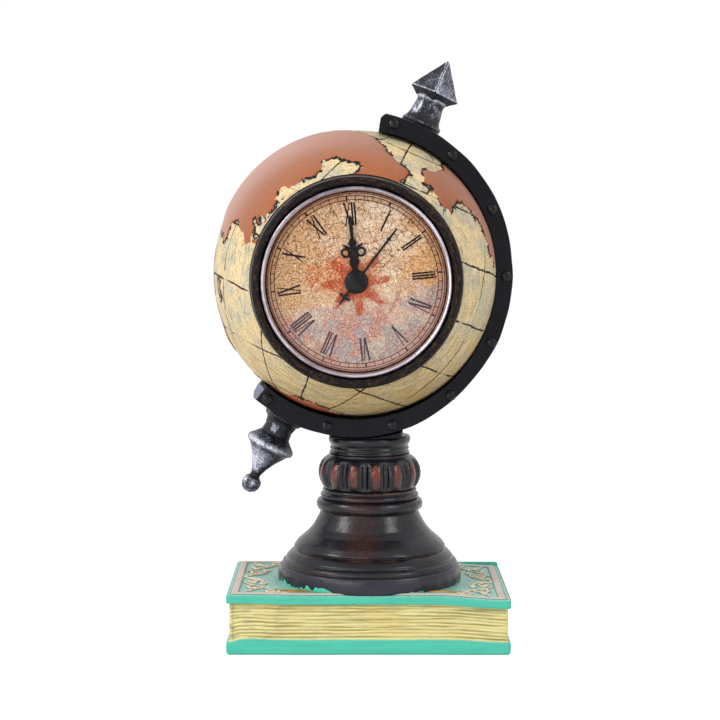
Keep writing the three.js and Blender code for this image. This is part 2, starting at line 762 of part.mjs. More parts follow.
function topFinial() {
  const seat = finialSeat(topFinialAngle);
  const outline = alongFinial(topFinialShares, topFlangeRadius, seat, topFinialLength);
  const neckTop = outline[outline.length - 1][1];
  const neck = turned([[0, seat], ...outline, [0, neckTop]], 2 * smallSegments);
  const diagonals = alongFinial(topSpearShares, topSpearHalfDiagonal, seat, topFinialLength);
  const spear = lofted(diagonals.map(([reach, z]) => {
    const loop = [];
    for (let side = 0; side < topSpearSides; side += 1) {
      const corner = polar(reach, side / topSpearSides * 2 * Math.PI);
      loop.push(new THREE.Vector3(corner.x, corner.y, z));
    }
    return loop;
  }));
  return onPolarAxis(join(neck, spear, finialPin(seat)), topFinialAngle);
}

function bottomFinial() {
  const seat = finialSeat(bottomFinialAngle);
  const outline = alongFinial(bottomFinialShares, bottomDiscRadius, seat, bottomFinialLength);
  const body = turned([[0, seat], ...outline], 2 * smallSegments);
  return onPolarAxis(join(body, finialPin(seat)), bottomFinialAngle);
}

// Ring and clock insert, drawn face up with the dial axis as +Z

function bezelRing() {
  const edge = ringEdgeShares.map(
    ([inwards, backwards]) => [ringRadius - inwards * ringWall, ringFront - backwards * ringWall],
  );
  const profile = [
    [insertBoreRadius, ringRear], [ringRadius, ringRear], ...edge, [ringBoreRadius, ringSeat],
    [insertBoreRadius, ringSeat], [insertBoreRadius, ringRear],
  ];
  return turned(profile);
}

function insertBezel() {
  const groove = bezelSight + lensGrooveDepth;
  const lipBack = bezelFront - lensLip;
  const grooveBack = lensBack - fitGap;
  const back = ringSeat + fitGap;
  const profile = [
    [bezelSight, back], [bezelRadius, back], [bezelRadius, bezelFront - bezelEdge],
    [bezelRadius - bezelEdge / 2, bezelFront - bezelEdge / 4], [bezelRadius - bezelEdge, bezelFront],
    [bezelSight, bezelFront - bezelEdge], [bezelSight, lipBack], [groove, lipBack],
    [groove, grooveBack], [bezelSight, grooveBack], [bezelSight, back],
  ];
  return turned(profile);
}

function insertLens() {
  return rod(bezelSight + lensGrooveDepth - fitGap, lensBack, lensFront, roundSegments);
}

function dialPlate() {
  return tubeRing(dialBoreRadius, bezelSight - fitGap, dialBack, dialFront);
}

function pivotBore(axis, low, high, radius = arborBore) {
  return rod(radius, low, high, pinSegments).translate(axis.x, axis.y, 0);
}

function insertCase() {
  const inner = caseRadius - caseWall;
  const flangeBack = ringSeat + fitGap;
  const profile = [
    [hourPipeRadius + fitGap, caseInnerFace], [inner, caseInnerFace], [inner, caseRear],
    [caseRadius, caseRear], [caseRadius, flangeBack], [caseFlangeRadius, flangeBack],
    [caseFlangeRadius, caseFrontFace], [hourPipeRadius + fitGap, caseFrontFace],
    [hourPipeRadius + fitGap, caseInnerFace],
  ];
  const blindTop = caseInnerFace + pivotDepth + fitGap;
  const holes = [thirdAxis, knobAxis].map(
    (axis) => pivotBore(axis, caseInnerFace - cutOver, blindTop, arborBore + fitGap),
  );
  const stud = rod(arborRadius, cannonLayer, caseFrontFace - caseWall / 2, pinSegments);
  return join(cut(turned(profile), ...holes), stud.translate(minuteAxis.x, minuteAxis.y, 0));
}

// A soft ring round the case with ribs that grip the bore.
function gripRing() {
  const inner = caseRadius + fitGap;
  const outer = inner + gripRingThickness;
  const front = ringSeat - gripRingSetback;
  const rear = front - gripRingLength;
  const outline = [];
  for (let i = 0; i < gripRibCount; i += 1) {
    const step = gripRingLength / gripRibCount;
    const low = rear + i * step;
    outline.push([outer - gripRibDepth, low], [outer, low + step / 2]);
  }
  outline.push([outer - gripRibDepth, front]);
  return turned([[inner, rear], ...outline, [inner, front], [inner, rear]]);
}

function middlePlate() {
  const low = middlePlateBack;
  const high = low + plateThickness;
  const pinionTip = trainModule * (pinionTeeth / 2 + pinionToothShares[1][0]);
  const through = (axis, radius) => pivotBore(axis, low - cutOver, high + cutOver, radius);
  return cut(
    rod(plateRadius, low, high, roundSegments), through(dialCentre, pinionTip + fitGap),
    through(knobAxis, knobStemRadius + fitGap), through(thirdAxis), through(fifthAxis), through(rotorAxis),
  );
}

function rearPlate() {
  const low = rearPlateBack;
  const high = low + plateThickness;
  const through = (axis, radius) => pivotBore(axis, low - cutOver, high + cutOver, radius);
  return cut(
    rod(plateRadius, low, high, roundSegments), through(dialCentre), through(fifthAxis),
    through(rotorAxis), through(knobAxis, knobStemRadius + fitGap),
  );
}

function backCover() {
  const low = backCoverBack;
  const high = backCoverFront;
  const disc = rod(caseRadius, low, high, roundSegments);
  const doorHole = rod(batteryDoorRadius + fitGap, low - cutOver, high + cutOver, roundSegments);
  const knobHole = pivotBore(knobAxis, low - cutOver, high + cutOver, knobStemRadius + fitGap);
  return cut(disc, doorHole.translate(batteryX, batteryY, 0), knobHole);
}

// Wheels and arbors

// A toothed outline. Each tooth repeats the shares: height above the pitch circle in modules,
// and place round the pitch circle in tooth pitches.
function gearOutline(teeth, module, toothShares, phase) {
  const points = [];
  const pitchRadius = teeth * module / 2;
  for (let tooth = 0; tooth < teeth; tooth += 1) {
    for (const [rise, place] of toothShares) {
      const angle = phase + (tooth + place) * 2 * Math.PI / teeth;
      points.push(polar(pitchRadius + rise * module, angle));
    }
  }
  return new THREE.Shape(points);
}

function wheel(teeth, module, phase, low, axis = dialCentre) {
  const outline = gearOutline(teeth, module, wheelToothShares, phase);
  return extruded(outline, low, low + wheelThickness).translate(axis.x, axis.y, 0);
}

function pinion(teeth, module, phase, low, axis = dialCentre) {
  const outline = gearOutline(teeth, module, pinionToothShares, phase);
  return extruded(outline, low, low + wheelThickness).translate(axis.x, axis.y, 0);
}

// The phase that puts a gap of the driven wheel where the driving wheel has a tooth.
function meshedPhase(drivingPhase, drivingTeeth, direction, drivenTeeth) {
  const offset = (drivingPhase - direction) * drivingTeeth / drivenTeeth;
  return direction + Math.PI + Math.PI / drivenTeeth - offset;
}

function arbor(axis, low, high, radius = arborRadius) {
  return rod(radius, low, high, pinSegments).translate(axis.x, axis.y, 0);
}

function hourWheel() {
  const phase = meshedPhase(0, minutePinionTeeth, radians(minuteAxisAngle + 180), hourWheelTeeth);
  const gear = wheel(hourWheelTeeth, hourModule, phase, hourLayer);
  const pipe = rod(hourPipeRadius, hourLayer, hourHandBack + handThickness);
  const bore = rod(hourPipeBore, hourLayer - cutOver, bezelFront);
  return cut(join(gear, pipe), bore);
}

function cannonPinion() {
  const gear = pinion(cannonTeeth, cannonModule, 0, cannonLayer);
  const pipe = rod(cannonRadius, cannonLayer, minuteHandBack + handThickness);
  const bore = rod(arborBore, cannonLayer - cutOver, bezelFront, pinSegments);
  return cut(join(gear, pipe), bore);
}

function minutePhase() {
  return meshedPhase(0, cannonTeeth, radians(minuteAxisAngle), minuteWheelTeeth);
}

function minuteWheel() {
  const gear = wheel(minuteWheelTeeth, cannonModule, minutePhase(), cannonLayer, minuteAxis);
  const small = pinion(minutePinionTeeth, hourModule, 0, hourLayer, minuteAxis);
  const hub = arbor(minuteAxis, cannonLayer, hourLayer + wheelThickness, arborBore + cannonWall);
  return cut(join(gear, small, hub), pivotBore(minuteAxis, cannonLayer - cutOver, caseInnerFace));
}

function centreWheel() {
  const phase = meshedPhase(0, pinionTeeth, radians(thirdAxisAngle + 180), centreWheelTeeth);
  const gear = wheel(centreWheelTeeth, centreModule, phase, centreLayer);
  return cut(gear, rod(arborBore, centreLayer - cutOver, cannonLayer, pinSegments));
}

function thirdWheel() {
  const phase = meshedPhase(0, pinionTeeth, radians(thirdAxisAngle), thirdWheelTeeth);
  const gear = wheel(thirdWheelTeeth, trainModule, phase, thirdLayer, thirdAxis);
  const small = pinion(pinionTeeth, centreModule, 0, centreLayer, thirdAxis);
  const shaft = arbor(thirdAxis, middlePlateBack + fitGap, caseInnerFace + pivotDepth);
  return join(gear, small, shaft);
}

function fourthWheel() {
  const phase = meshedPhase(0, pinionTeeth, radians(fifthAxisAngle + 180), fourthWheelTeeth);
  const gear = wheel(fourthWheelTeeth, trainModule, phase, fourthLayer);
  const small = pinion(pinionTeeth, trainModule, 0, thirdLayer);
  const shaft = arbor(dialCentre, rearPlateBack + fitGap, secondHandBack + handThickness);
  return join(gear, small, shaft);
}

function fifthWheel() {
  const phase = meshedPhase(0, pinionTeeth, radians(rotorAxisAngle + 180), fifthWheelTeeth);
  const gear = wheel(fifthWheelTeeth, trainModule, phase, fifthLayer, fifthAxis);
  const small = pinion(pinionTeeth, trainModule, 0, fourthLayer, fifthAxis);
  const shaft = arbor(fifthAxis, rearPlateBack + fitGap, middlePlateBack + pivotDepth);
  return join(gear, small, shaft);
}

function rotor() {
  const magnet = rod(rotorRadius, rotorBack, rotorBack + rotorThickness);
  magnet.translate(rotorAxis.x, rotorAxis.y, 0);
  const small = pinion(pinionTeeth, trainModule, 0, fifthLayer, rotorAxis);
  const shaft = arbor(rotorAxis, rearPlateBack + fitGap, middlePlateBack + pivotDepth);
  return join(magnet, small, shaft);
}

function setKnob() {
  const phase = meshedPhase(minutePhase(), minuteWheelTeeth, radians(minuteAxisAngle), cannonTeeth);
  const small = pinion(cannonTeeth, cannonModule, phase, cannonLayer, knobAxis);
  const headTop = backCoverBack - fitGap;
  const headBottom = headTop - knobHeight;
  const count = 2 * knobFlutes;
  const head = lofted([headBottom, headTop].map((z) => {
    const loop = [];
    for (let i = 0; i < count; i += 1) {
      const flute = i % 2 === 0 ? 1 : 1 - knobFluteShare;
      const point = polar(knobRadius * flute, i / count * 2 * Math.PI).add(knobAxis);
      loop.push(new THREE.Vector3(point.x, point.y, z));
    }
    return loop;
  }));
  const stemTop = cannonLayer + wheelThickness / 2;
  const stem = arbor(knobAxis, headTop - knobHeight / 2, stemTop, knobStemRadius);
  const pivot = arbor(knobAxis, cannonLayer, caseInnerFace + pivotDepth);
  return join(head, stem, small, pivot);
}

// Hands, drawn pointing to +Y

function handBar(shares, reach, back) {
  const [lowHalf, highHalf, low, high] = shares.map((share) => share * reach);
  const bar = new THREE.Shape([
    new THREE.Vector2(-lowHalf, low), new THREE.Vector2(lowHalf, low),
    new THREE.Vector2(highHalf, high), new THREE.Vector2(-highHalf, high),
  ]);
  return extruded(bar, back, back + handThickness);
}

function handBlade(shares, reach, back) {
  const [half, low, widest, high] = shares.map((share) => share * reach);
  const blade = new THREE.Shape([
    new THREE.Vector2(0, low), new THREE.Vector2(half, widest),
    new THREE.Vector2(0, high), new THREE.Vector2(-half, widest),
  ]);
  return extruded(blade, back, back + handThickness);
}

function handDisc(shares, reach, back) {
  const [radius, , side, along] = shares.map((share) => share * reach);
  return rod(radius, back, back + handThickness).translate(side, along, 0);
}

// A loop at the hand's side: 1 is its right side, -1 its left side.
function handLoop(shares, reach, back, hand) {
  const [outer, inner, side, along] = shares.map((share) => share * reach);
  const loop = tubeRing(inner, outer, back, back + handThickness, smallSegments);
  return loop.translate(hand * side, along, 0);
}

function handHub(radius, back) {
  return rod(radius, back, back + handThickness, 2 * smallSegments);
}

function hourHand() {
  const back = hourHandBack;
  const hand = join(
    handHub(hourHubRadius, back),
    handBar(hourBarShares, hourHandLength, back),
    handBlade(hourBulgeShares, hourHandLength, back),
    handBlade(hourTipShares, hourHandLength, back),
    handDisc(hourDiscShares, hourHandLength, back),
    handLoop(hourLoopShares, hourHandLength, back, -1),
    handLoop(hourLoopShares, hourHandLength, back, 1),
  );
  return cut(hand, rod(hourPipeRadius + fitGap, back - cutOver, back + cutOver));
}

function minuteHand() {
  const back = minuteHandBack;
  const hand = join(
    handHub(minuteHubRadius, back),
    handBar(minuteBarShares, minuteHandLength, back),
    handBlade(minuteTipShares, minuteHandLength, back),
  );
  return cut(hand, rod(cannonRadius + fitGap, back - cutOver, back + cutOver));
}

function secondHand() {
  const back = secondHandBack;
  const hand = join(
    handHub(secondHubRadius, back),
    handBar(secondBarShares, secondHandLength, back),
    handBlade(secondTipShares, secondHandLength, back),
    handBar(secondTailBarShares, -secondTailLength, back),
    handBlade(secondTailBladeShares, -secondTailLength, back),
  );
  const bore = rod(arborBore, back - cutOver, back + cutOver, pinSegments);
  return cut(hand, bore).rotateZ(-radians(secondHandAngle));
}

// Motor, circuit and battery

// A plate whose ring goes round the rotor, with an arm to each end of the coil core.
function statorPlate() {
  const low = rotorBack + (rotorThickness - statorThickness) / 2;
  const high = low + statorThickness;
  const ringOuter = rotorRadius + fitGap + statorRingWidth;
  const ring = rod(ringOuter, low, high, roundSegments).translate(rotorAxis.x, rotorAxis.y, 0);
  const right = coilX + coreWidth / 2;
  const reach = right - rotorAxis.x;
  const middleX = (rotorAxis.x + right) / 2;
  const middleZ = (low + high) / 2;
  const upperArm = block(reach, statorArmWidth, statorThickness, middleX, rotorAxis.y, middleZ);
  const lowerArm = block(reach, statorArmWidth, statorThickness, middleX, coilLowY, middleZ);
  const drop = rotorAxis.y - coilLowY;
  const post = block(
    statorArmWidth, drop, statorThickness, rotorAxis.x, (rotorAxis.y + coilLowY) / 2, middleZ,
  );
  const foot = block(
    statorArmWidth, statorArmWidth, statorThickness, rotorAxis.x, coilLowY, middleZ,
  );
  const bore = rod(rotorRadius + fitGap, low - cutOver, high + cutOver, roundSegments);
  return cut(join(ring, upperArm, lowerArm, post, foot), bore.translate(rotorAxis.x, rotorAxis.y, 0));
}

function coreBottom() {
  return rotorBack + (rotorThickness + statorThickness) / 2 + fitGap;
}

function coilCore() {
  const length = rotorAxis.y - coilLowY + statorArmWidth;
  const middleY = (rotorAxis.y + coilLowY) / 2;
  return block(coreWidth, length, statorThickness, coilX, middleY, coreBottom() + statorThickness / 2);
}

function motorCoil() {
  const length = rotorAxis.y - coilLowY - 2 * coilEndGap;
  const middleY = (rotorAxis.y + coilLowY) / 2;
  const middleZ = coreBottom() + statorThickness / 2;
  const winding = rod(coilHalfWidth, -length / 2, length / 2).rotateX(Math.PI / 2);
  const bore = block(
    coreWidth + 2 * fitGap, length + 2 * cutOver, statorThickness + 2 * fitGap, 0, 0, 0,
  );
  return cut(winding, bore).translate(coilX, middleY, middleZ);
}

function circuitBoard() {
  const middleZ = rearPlateBack - fitGap - circuitThickness / 2;
  return block(circuitWidth, circuitHeight, circuitThickness, boardX, boardY, middleZ);
}

function quartzCrystal() {
  const can = rod(crystalRadius, -crystalLength / 2, crystalLength / 2, pinSegments);
  can.rotateX(Math.PI / 2);
  const z = rearPlateBack - fitGap - circuitThickness - fitGap - crystalRadius;
  return can.translate(boardX, boardY, z);
}

function buttonCell() {
  const profile = [
    [0, batteryBack], [batteryRadius, batteryBack], [batteryRadius, batteryFront - batteryEdge],
    [batteryRadius - batteryEdge, batteryFront], [0, batteryFront],
  ];
  return turned(profile, 2 * smallSegments).translate(batteryX, batteryY, 0);
}

// A strip that lies on the front end of the cell.
function frontContact() {
  const middleZ = batteryFront + fitGap + contactThickness / 2;
  return block(contactLength, contactWidth, contactThickness, batteryX, batteryY, middleZ);
}

// A strip that stands beside the cell and touches its rim.
function sideContact() {
  const x = batteryX + batteryRadius + fitGap + contactThickness / 2;
  const middleZ = batteryBack + batteryHeight / 2;
  return block(contactThickness, contactWidth, batteryHeight, x, batteryY, middleZ);
}

function batteryDoor() {
  const low = backCoverFront - batteryDoorThickness;
  const slot = block(doorSlotLength, doorSlotWidth, 2 * doorSlotDepth, batteryX, batteryY, low);
  const disc = rod(batteryDoorRadius, low, backCoverFront, roundSegments);
  return cut(disc.translate(batteryX, batteryY, 0), slot);
}

// Assembly

const globeClock = new THREE.Group();

addPiece(globeClock, 'felt_pad', feltPad(), feltFinish);
addPiece(globeClock, 'book_lower_board', lowerBoard(), bookClothFinish);
addPiece(globeClock, 'book_page_block', pageBlock(), pageFinish);
addPiece(globeClock, 'book_upper_board', upperBoard(), bookClothFinish);
addPiece(globeClock, 'book_spine', bookSpine(), bookClothFinish);
addPiece(globeClock, 'cover_border_left', coverBorder(-1), borderFinish);
addPiece(globeClock, 'cover_border_right', coverBorder(1), borderFinish);
addPiece(globeClock, 'tie_bolt', tieBolt(), steelFinish);
addPiece(globeClock, 'tie_bolt_washer', boltWasher(), steelFinish);
addPiece(globeClock, 'pedestal_foot', pedestalFoot(), darkPaintFinish);
addPiece(globeClock, 'pedestal_knop', pedestalKnop(), darkPaintFinish);
addPiece(globeClock, 'pedestal_collar', pedestalCollar(), darkPaintFinish);
addPiece(globeClock, 'saddle_block', saddleBlock(), arcPaintFinish);
addPiece(globeClock, 'meridian_arc', meridianArc(), arcPaintFinish);
for (let i = 0; i < rivetCount; i += 1) {
  addPiece(globeClock, `arc_rivet_${i + 1}`, arcRivet(i), arcPaintFinish);
}
addPiece(globeClock, 'globe_front_shell', globeShell(-1), globePaintFinish);
addPiece(globeClock, 'globe_rear_shell', globeShell(1), globePaintFinish);
addPiece(globeClock, 'top_finial', topFinial(), silverPaintFinish);
addPiece(globeClock, 'bottom_finial', bottomFinial(), silverPaintFinish);

const dialAxis = new THREE.Group();
dialAxis.position.set(globeX, 0, globeZ - dialDrop);
dialAxis.rotation.x = Math.PI / 2;
globeClock.add(dialAxis);
addPiece(dialAxis, 'bezel_ring', bezelRing(), bronzePaintFinish);

const clockInsert = new THREE.Group();
clockInsert.rotation.z = radians(insertTurn);
dialAxis.add(clockInsert);
addPiece(clockInsert, 'insert_bezel', insertBezel(), chromeFinish);
addPiece(clockInsert, 'insert_lens', insertLens(), glassFinish);
addPiece(clockInsert, 'dial_plate', dialPlate(), dialFinish);
addPiece(clockInsert, 'insert_case', insertCase(), blackPlasticFinish);
addPiece(clockInsert, 'grip_ring', gripRing(), rubberFinish);
addPiece(clockInsert, 'back_cover', backCover(), blackPlasticFinish);
addPiece(clockInsert, 'middle_plate', middlePlate(), whitePlasticFinish);
addPiece(clockInsert, 'rear_plate', rearPlate(), whitePlasticFinish);
addPiece(clockInsert, 'hour_wheel', hourWheel(), whitePlasticFinish);
addPiece(clockInsert, 'cannon_pinion', cannonPinion(), brassFinish);
addPiece(clockInsert, 'minute_wheel', minuteWheel(), whitePlasticFinish);
addPiece(clockInsert, 'centre_wheel', centreWheel(), brassFinish);
addPiece(clockInsert, 'third_wheel', thirdWheel(), whitePlasticFinish);
addPiece(clockInsert, 'fourth_wheel', fourthWheel(), whitePlasticFinish);
addPiece(clockInsert, 'fifth_wheel', fifthWheel(), whitePlasticFinish);
addPiece(clockInsert, 'motor_rotor', rotor(), steelFinish);
addPiece(clockInsert, 'hour_hand', hourHand(), handFinish);
addPiece(clockInsert, 'minute_hand', minuteHand(), handFinish);
addPiece(clockInsert, 'second_hand', secondHand(), handFinish);
addPiece(clockInsert, 'set_knob', setKnob(), blackPlasticFinish);
addPiece(clockInsert, 'motor_stator', statorPlate(), steelFinish);
addPiece(clockInsert, 'coil_core', coilCore(), steelFinish);
addPiece(clockInsert, 'motor_coil', motorCoil(), copperFinish);
addPiece(clockInsert, 'circuit_board', circuitBoard(), circuitFinish);
addPiece(clockInsert, 'quartz_crystal', quartzCrystal(), steelFinish);
addPiece(clockInsert, 'button_cell', buttonCell(), steelFinish);
addPiece(clockInsert, 'cell_front_contact', frontContact(), brassFinish);
addPiece(clockInsert, 'cell_side_contact', sideContact(), brassFinish);
addPiece(clockInsert, 'battery_door', batteryDoor(), blackPlasticFinish);

export default globeClock;
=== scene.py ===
# Looks of the globe clock: a quartz insert in a painted globe, on a turned pedestal and a book.
# Shapes are worked out in millimetres and written to the meshes in metres.
import json
import math

import bpy
import numpy as np
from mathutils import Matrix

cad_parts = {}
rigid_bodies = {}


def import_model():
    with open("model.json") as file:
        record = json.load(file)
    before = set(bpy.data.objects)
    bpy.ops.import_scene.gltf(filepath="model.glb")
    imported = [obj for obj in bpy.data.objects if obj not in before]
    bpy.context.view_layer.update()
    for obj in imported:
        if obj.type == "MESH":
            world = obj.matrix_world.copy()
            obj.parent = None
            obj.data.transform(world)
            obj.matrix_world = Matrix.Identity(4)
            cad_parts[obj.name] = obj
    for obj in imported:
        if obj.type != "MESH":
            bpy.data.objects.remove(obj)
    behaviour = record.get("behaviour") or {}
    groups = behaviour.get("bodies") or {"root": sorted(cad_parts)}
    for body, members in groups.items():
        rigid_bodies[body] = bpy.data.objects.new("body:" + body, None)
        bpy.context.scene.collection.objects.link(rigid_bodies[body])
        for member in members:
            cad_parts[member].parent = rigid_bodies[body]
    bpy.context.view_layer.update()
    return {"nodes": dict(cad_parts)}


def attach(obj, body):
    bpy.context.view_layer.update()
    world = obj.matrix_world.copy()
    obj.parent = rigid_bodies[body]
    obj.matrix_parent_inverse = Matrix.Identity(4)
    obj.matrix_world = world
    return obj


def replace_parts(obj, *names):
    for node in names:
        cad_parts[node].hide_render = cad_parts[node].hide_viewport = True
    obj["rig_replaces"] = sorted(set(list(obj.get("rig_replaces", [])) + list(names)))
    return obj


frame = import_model()
nodes = frame["nodes"]
standBody = "stand_and_globe"
insertBody = "clock_insert"
print("frame loaded:", len(nodes), "nodes")


# Numbers and outlines

def radians(degrees):
    return np.asarray(degrees, float) * math.pi / 180


# 0 below low, 1 above high, and an S-shaped rise between them
def rise(value, low, high):
    share = np.clip((value - low) / (high - low), 0, 1)
    return share * share * (3 - 2 * share)


# a sum of sine waves that run in seeded random directions, with lengths near the given size,
# divided by the root of their number
def unevenness(points, size, seed, waves=14):
    chance = np.random.default_rng(seed)
    directions = chance.normal(size=(waves, 3))
    directions /= np.linalg.norm(directions, axis=1)[:, None]
    lengths = size * chance.uniform(0.6, 1.6, waves)
    shifts = chance.uniform(0, 2 * math.pi, waves)
    phases = points @ (directions * (2 * math.pi / lengths)[:, None]).T + shifts
    return np.sin(phases).sum(-1) / math.sqrt(waves)


# a bell-shaped running mean along a line's points; open ends are carried on by point reflection
def evened(line, reach, closed=False):
    if reach < 0.5:
        return line
    half = int(math.ceil(3 * reach))
    weights = np.exp(-0.5 * (np.arange(-half, half + 1) / reach) ** 2)
    weights /= weights.sum()
    if closed:
        padded = np.concatenate([line[-half:], line, line[:half]])
    else:
        before = 2 * line[0] - line[half:0:-1]
        after = 2 * line[-1] - line[-2:-half - 2:-1]
        padded = np.concatenate([before, line, after])
    columns = [np.convolve(column, weights, "valid") for column in padded.T]
    return np.stack(columns, 1)


# a polyline through the corners, cut into even steps and then rounded over the given length
def softLine(corners, step, softness=0.0, closed=False, count=None):
    corners = np.asarray(corners, float)
    if closed:
        corners = np.vstack([corners, corners[:1]])
    spans = np.linalg.norm(np.diff(corners, axis=0), axis=1)
    along = np.concatenate([[0], np.cumsum(spans)])
    count = count or max(int(round(along[-1] / step)), 3)
    places = np.linspace(0, along[-1], count + 1)
    line = np.stack([np.interp(places, along, column) for column in corners.T], 1)
    if closed:
        line = line[:-1]
    return evened(line, softness * count / along[-1], closed)


# how far each point of a profile stands out from the same profile rounded over a longer length
def standOut(profile, step, reach):
    smooth = evened(profile, reach / step)
    along = np.gradient(smooth, axis=0)
    across = np.stack([along[:, 1], -along[:, 0]], 1)
    across /= np.linalg.norm(across, axis=1)[:, None] + 1e-9
    return ((profile - smooth) * across).sum(1)


# Meshes

# a shell of points and faces, turned so that its faces look outward: the sum of the corner
# products a . (b x c) over its triangles is six times its volume, and it must not be negative
def outward(points, faces):
    middle = points.mean(0)
    volume = 0.0
    for group in faces:
        for second in range(1, group.shape[1] - 1):
            a, b, c = (points[group[:, k]] - middle for k in (0, second, second + 1))
            volume += (a * np.cross(b, c)).sum()
    return points, [group if volume > 0 else group[:, ::-1] for group in faces]


# a shell through rows of loops: each loop closes on itself, and the first and the last loop are
# closed by a fan of triangles, or joined to each other
def shellFrom(loops, ends="fan"):
    rows, columns = loops.shape[:2]
    points = loops.reshape(-1, 3)
    row = np.arange(rows if ends == "join" else rows - 1)[:, None]
    column = np.arange(columns)
    after = (column + 1) % columns
    here, below = row * columns, (row + 1) % rows * columns
    corners = [here + column, here + after, below + after, below + column]
    faces = [np.stack(corners, -1).reshape(-1, 4)]
    if ends == "fan":
        first, last, hub = 0 * column, (rows - 1) * columns, len(points)
        points = np.vstack([points, loops[0].mean(0), loops[-1].mean(0)])
        faces.append(np.stack([after, column, first + hub], 1))
        faces.append(np.stack([last + column, last + after, first + hub + 1], 1))
    return outward(points, faces)


def joined(shells):
    points, faces, start = [], [], 0
    for shellPoints, shellFaces in shells:
        points.append(shellPoints)
        faces += [group + start for group in shellFaces]
        start += len(shellPoints)
    return np.vstack(points), faces


# a new object for a mesh, lamp or camera, put into the scene
def placed(name, data):
    made = bpy.data.objects.new(name, data)
    bpy.context.scene.collection.objects.link(made)
    return made


# puts a shell into a mesh object, and says what it rides on, what it replaces and its finish
def addPiece(name, shell, finish, replaced=(), body=standBody, sharp=40, marks=None):
    points, faces = shell
    mesh = bpy.data.meshes.new(name)
    counts = np.concatenate([np.full(len(group), group.shape[1]) for group in faces])
    corners = np.concatenate([group.ravel() for group in faces])
    starts = np.concatenate([[0], np.cumsum(counts)[:-1]])
    mesh.vertices.add(len(points))
    mesh.vertices.foreach_set("co", (points / 1000).astype(np.float32).ravel())
    mesh.loops.add(len(corners))
    mesh.loops.foreach_set("vertex_index", corners.astype(np.int32))
    mesh.polygons.add(len(counts))
    mesh.polygons.foreach_set("loop_start", starts.astype(np.int32))
    mesh.update(calc_edges=True)
    mesh.validate()
    mesh.shade_smooth()
    mesh.set_sharp_from_angle(angle=math.radians(sharp))
    for label, values in (marks or {}).items():
        layer = mesh.attributes.new(label, "FLOAT", "POINT")
        full = np.zeros(len(points), np.float32)
        full[:len(values)] = values
        layer.data.foreach_set("value", full)
    piece = placed(name, mesh)
    mesh.materials.append(finish)
    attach(piece, body)
    if replaced:
        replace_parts(piece, *replaced)


# even angles once round
def fullTurn(count):
    return np.arange(count) * 2 * math.pi / count


# radius and height carried round an upright line; the radius may change on the way
def aroundAxis(radius, height, angle):
    return np.stack([radius * np.cos(angle), radius * np.sin(angle), height + 0 * radius * angle],
                    -1)


# points of a profile of [radius, height] turned about an upright line
def turnedLoops(profile, segments, middle=(0, 0, 0)):
    loops = aroundAxis(profile[:, :1], profile[:, 1:], fullTurn(segments))
    return loops + np.asarray(middle, float)


# Finishes

# a colour as it looks on screen, 0 to 255, turned into light
def tone(red, green, blue):
    share = np.array([red, green, blue]) / 255
    light = np.where(share <= 0.04045, share / 12.92, ((share + 0.055) / 1.055) ** 2.4)
    return (*light.tolist(), 1.0)


# a value, place or colour that a node gives; sums and ranges taken of it add a node each
class Value:
    def __init__(self, finish, socket):
        self.finish, self.socket = finish, socket

    def __add__(self, other):
        return self.finish.sums("ADD", self, other)

    def __sub__(self, other):
        return self.finish.sums("SUBTRACT", self, other)

    def __rsub__(self, other):
        return self.finish.sums("SUBTRACT", other, self)

    def __mul__(self, other):
        return self.finish.sums("MULTIPLY", self, other)

    def __truediv__(self, other):
        return self.finish.sums("DIVIDE", self, other)

    def __abs__(self):
        return self.finish.sums("ABSOLUTE", self)

    # the range low..high carried over to start..end, and held there outside it
    def fade(self, low, high, start=0.0, end=1.0):
        inputs = {"Value": self, "From Min": low, "From Max": high, "To Min": start, "To Max": end}
        return self.finish.add("ShaderNodeMapRange", inputs, interpolation_type="SMOOTHSTEP")

    def shifted(self, way):
        return self.finish.vector("ADD", self, way)

    def sized(self, size):
        return self.finish.vector("SCALE", self, size=size)


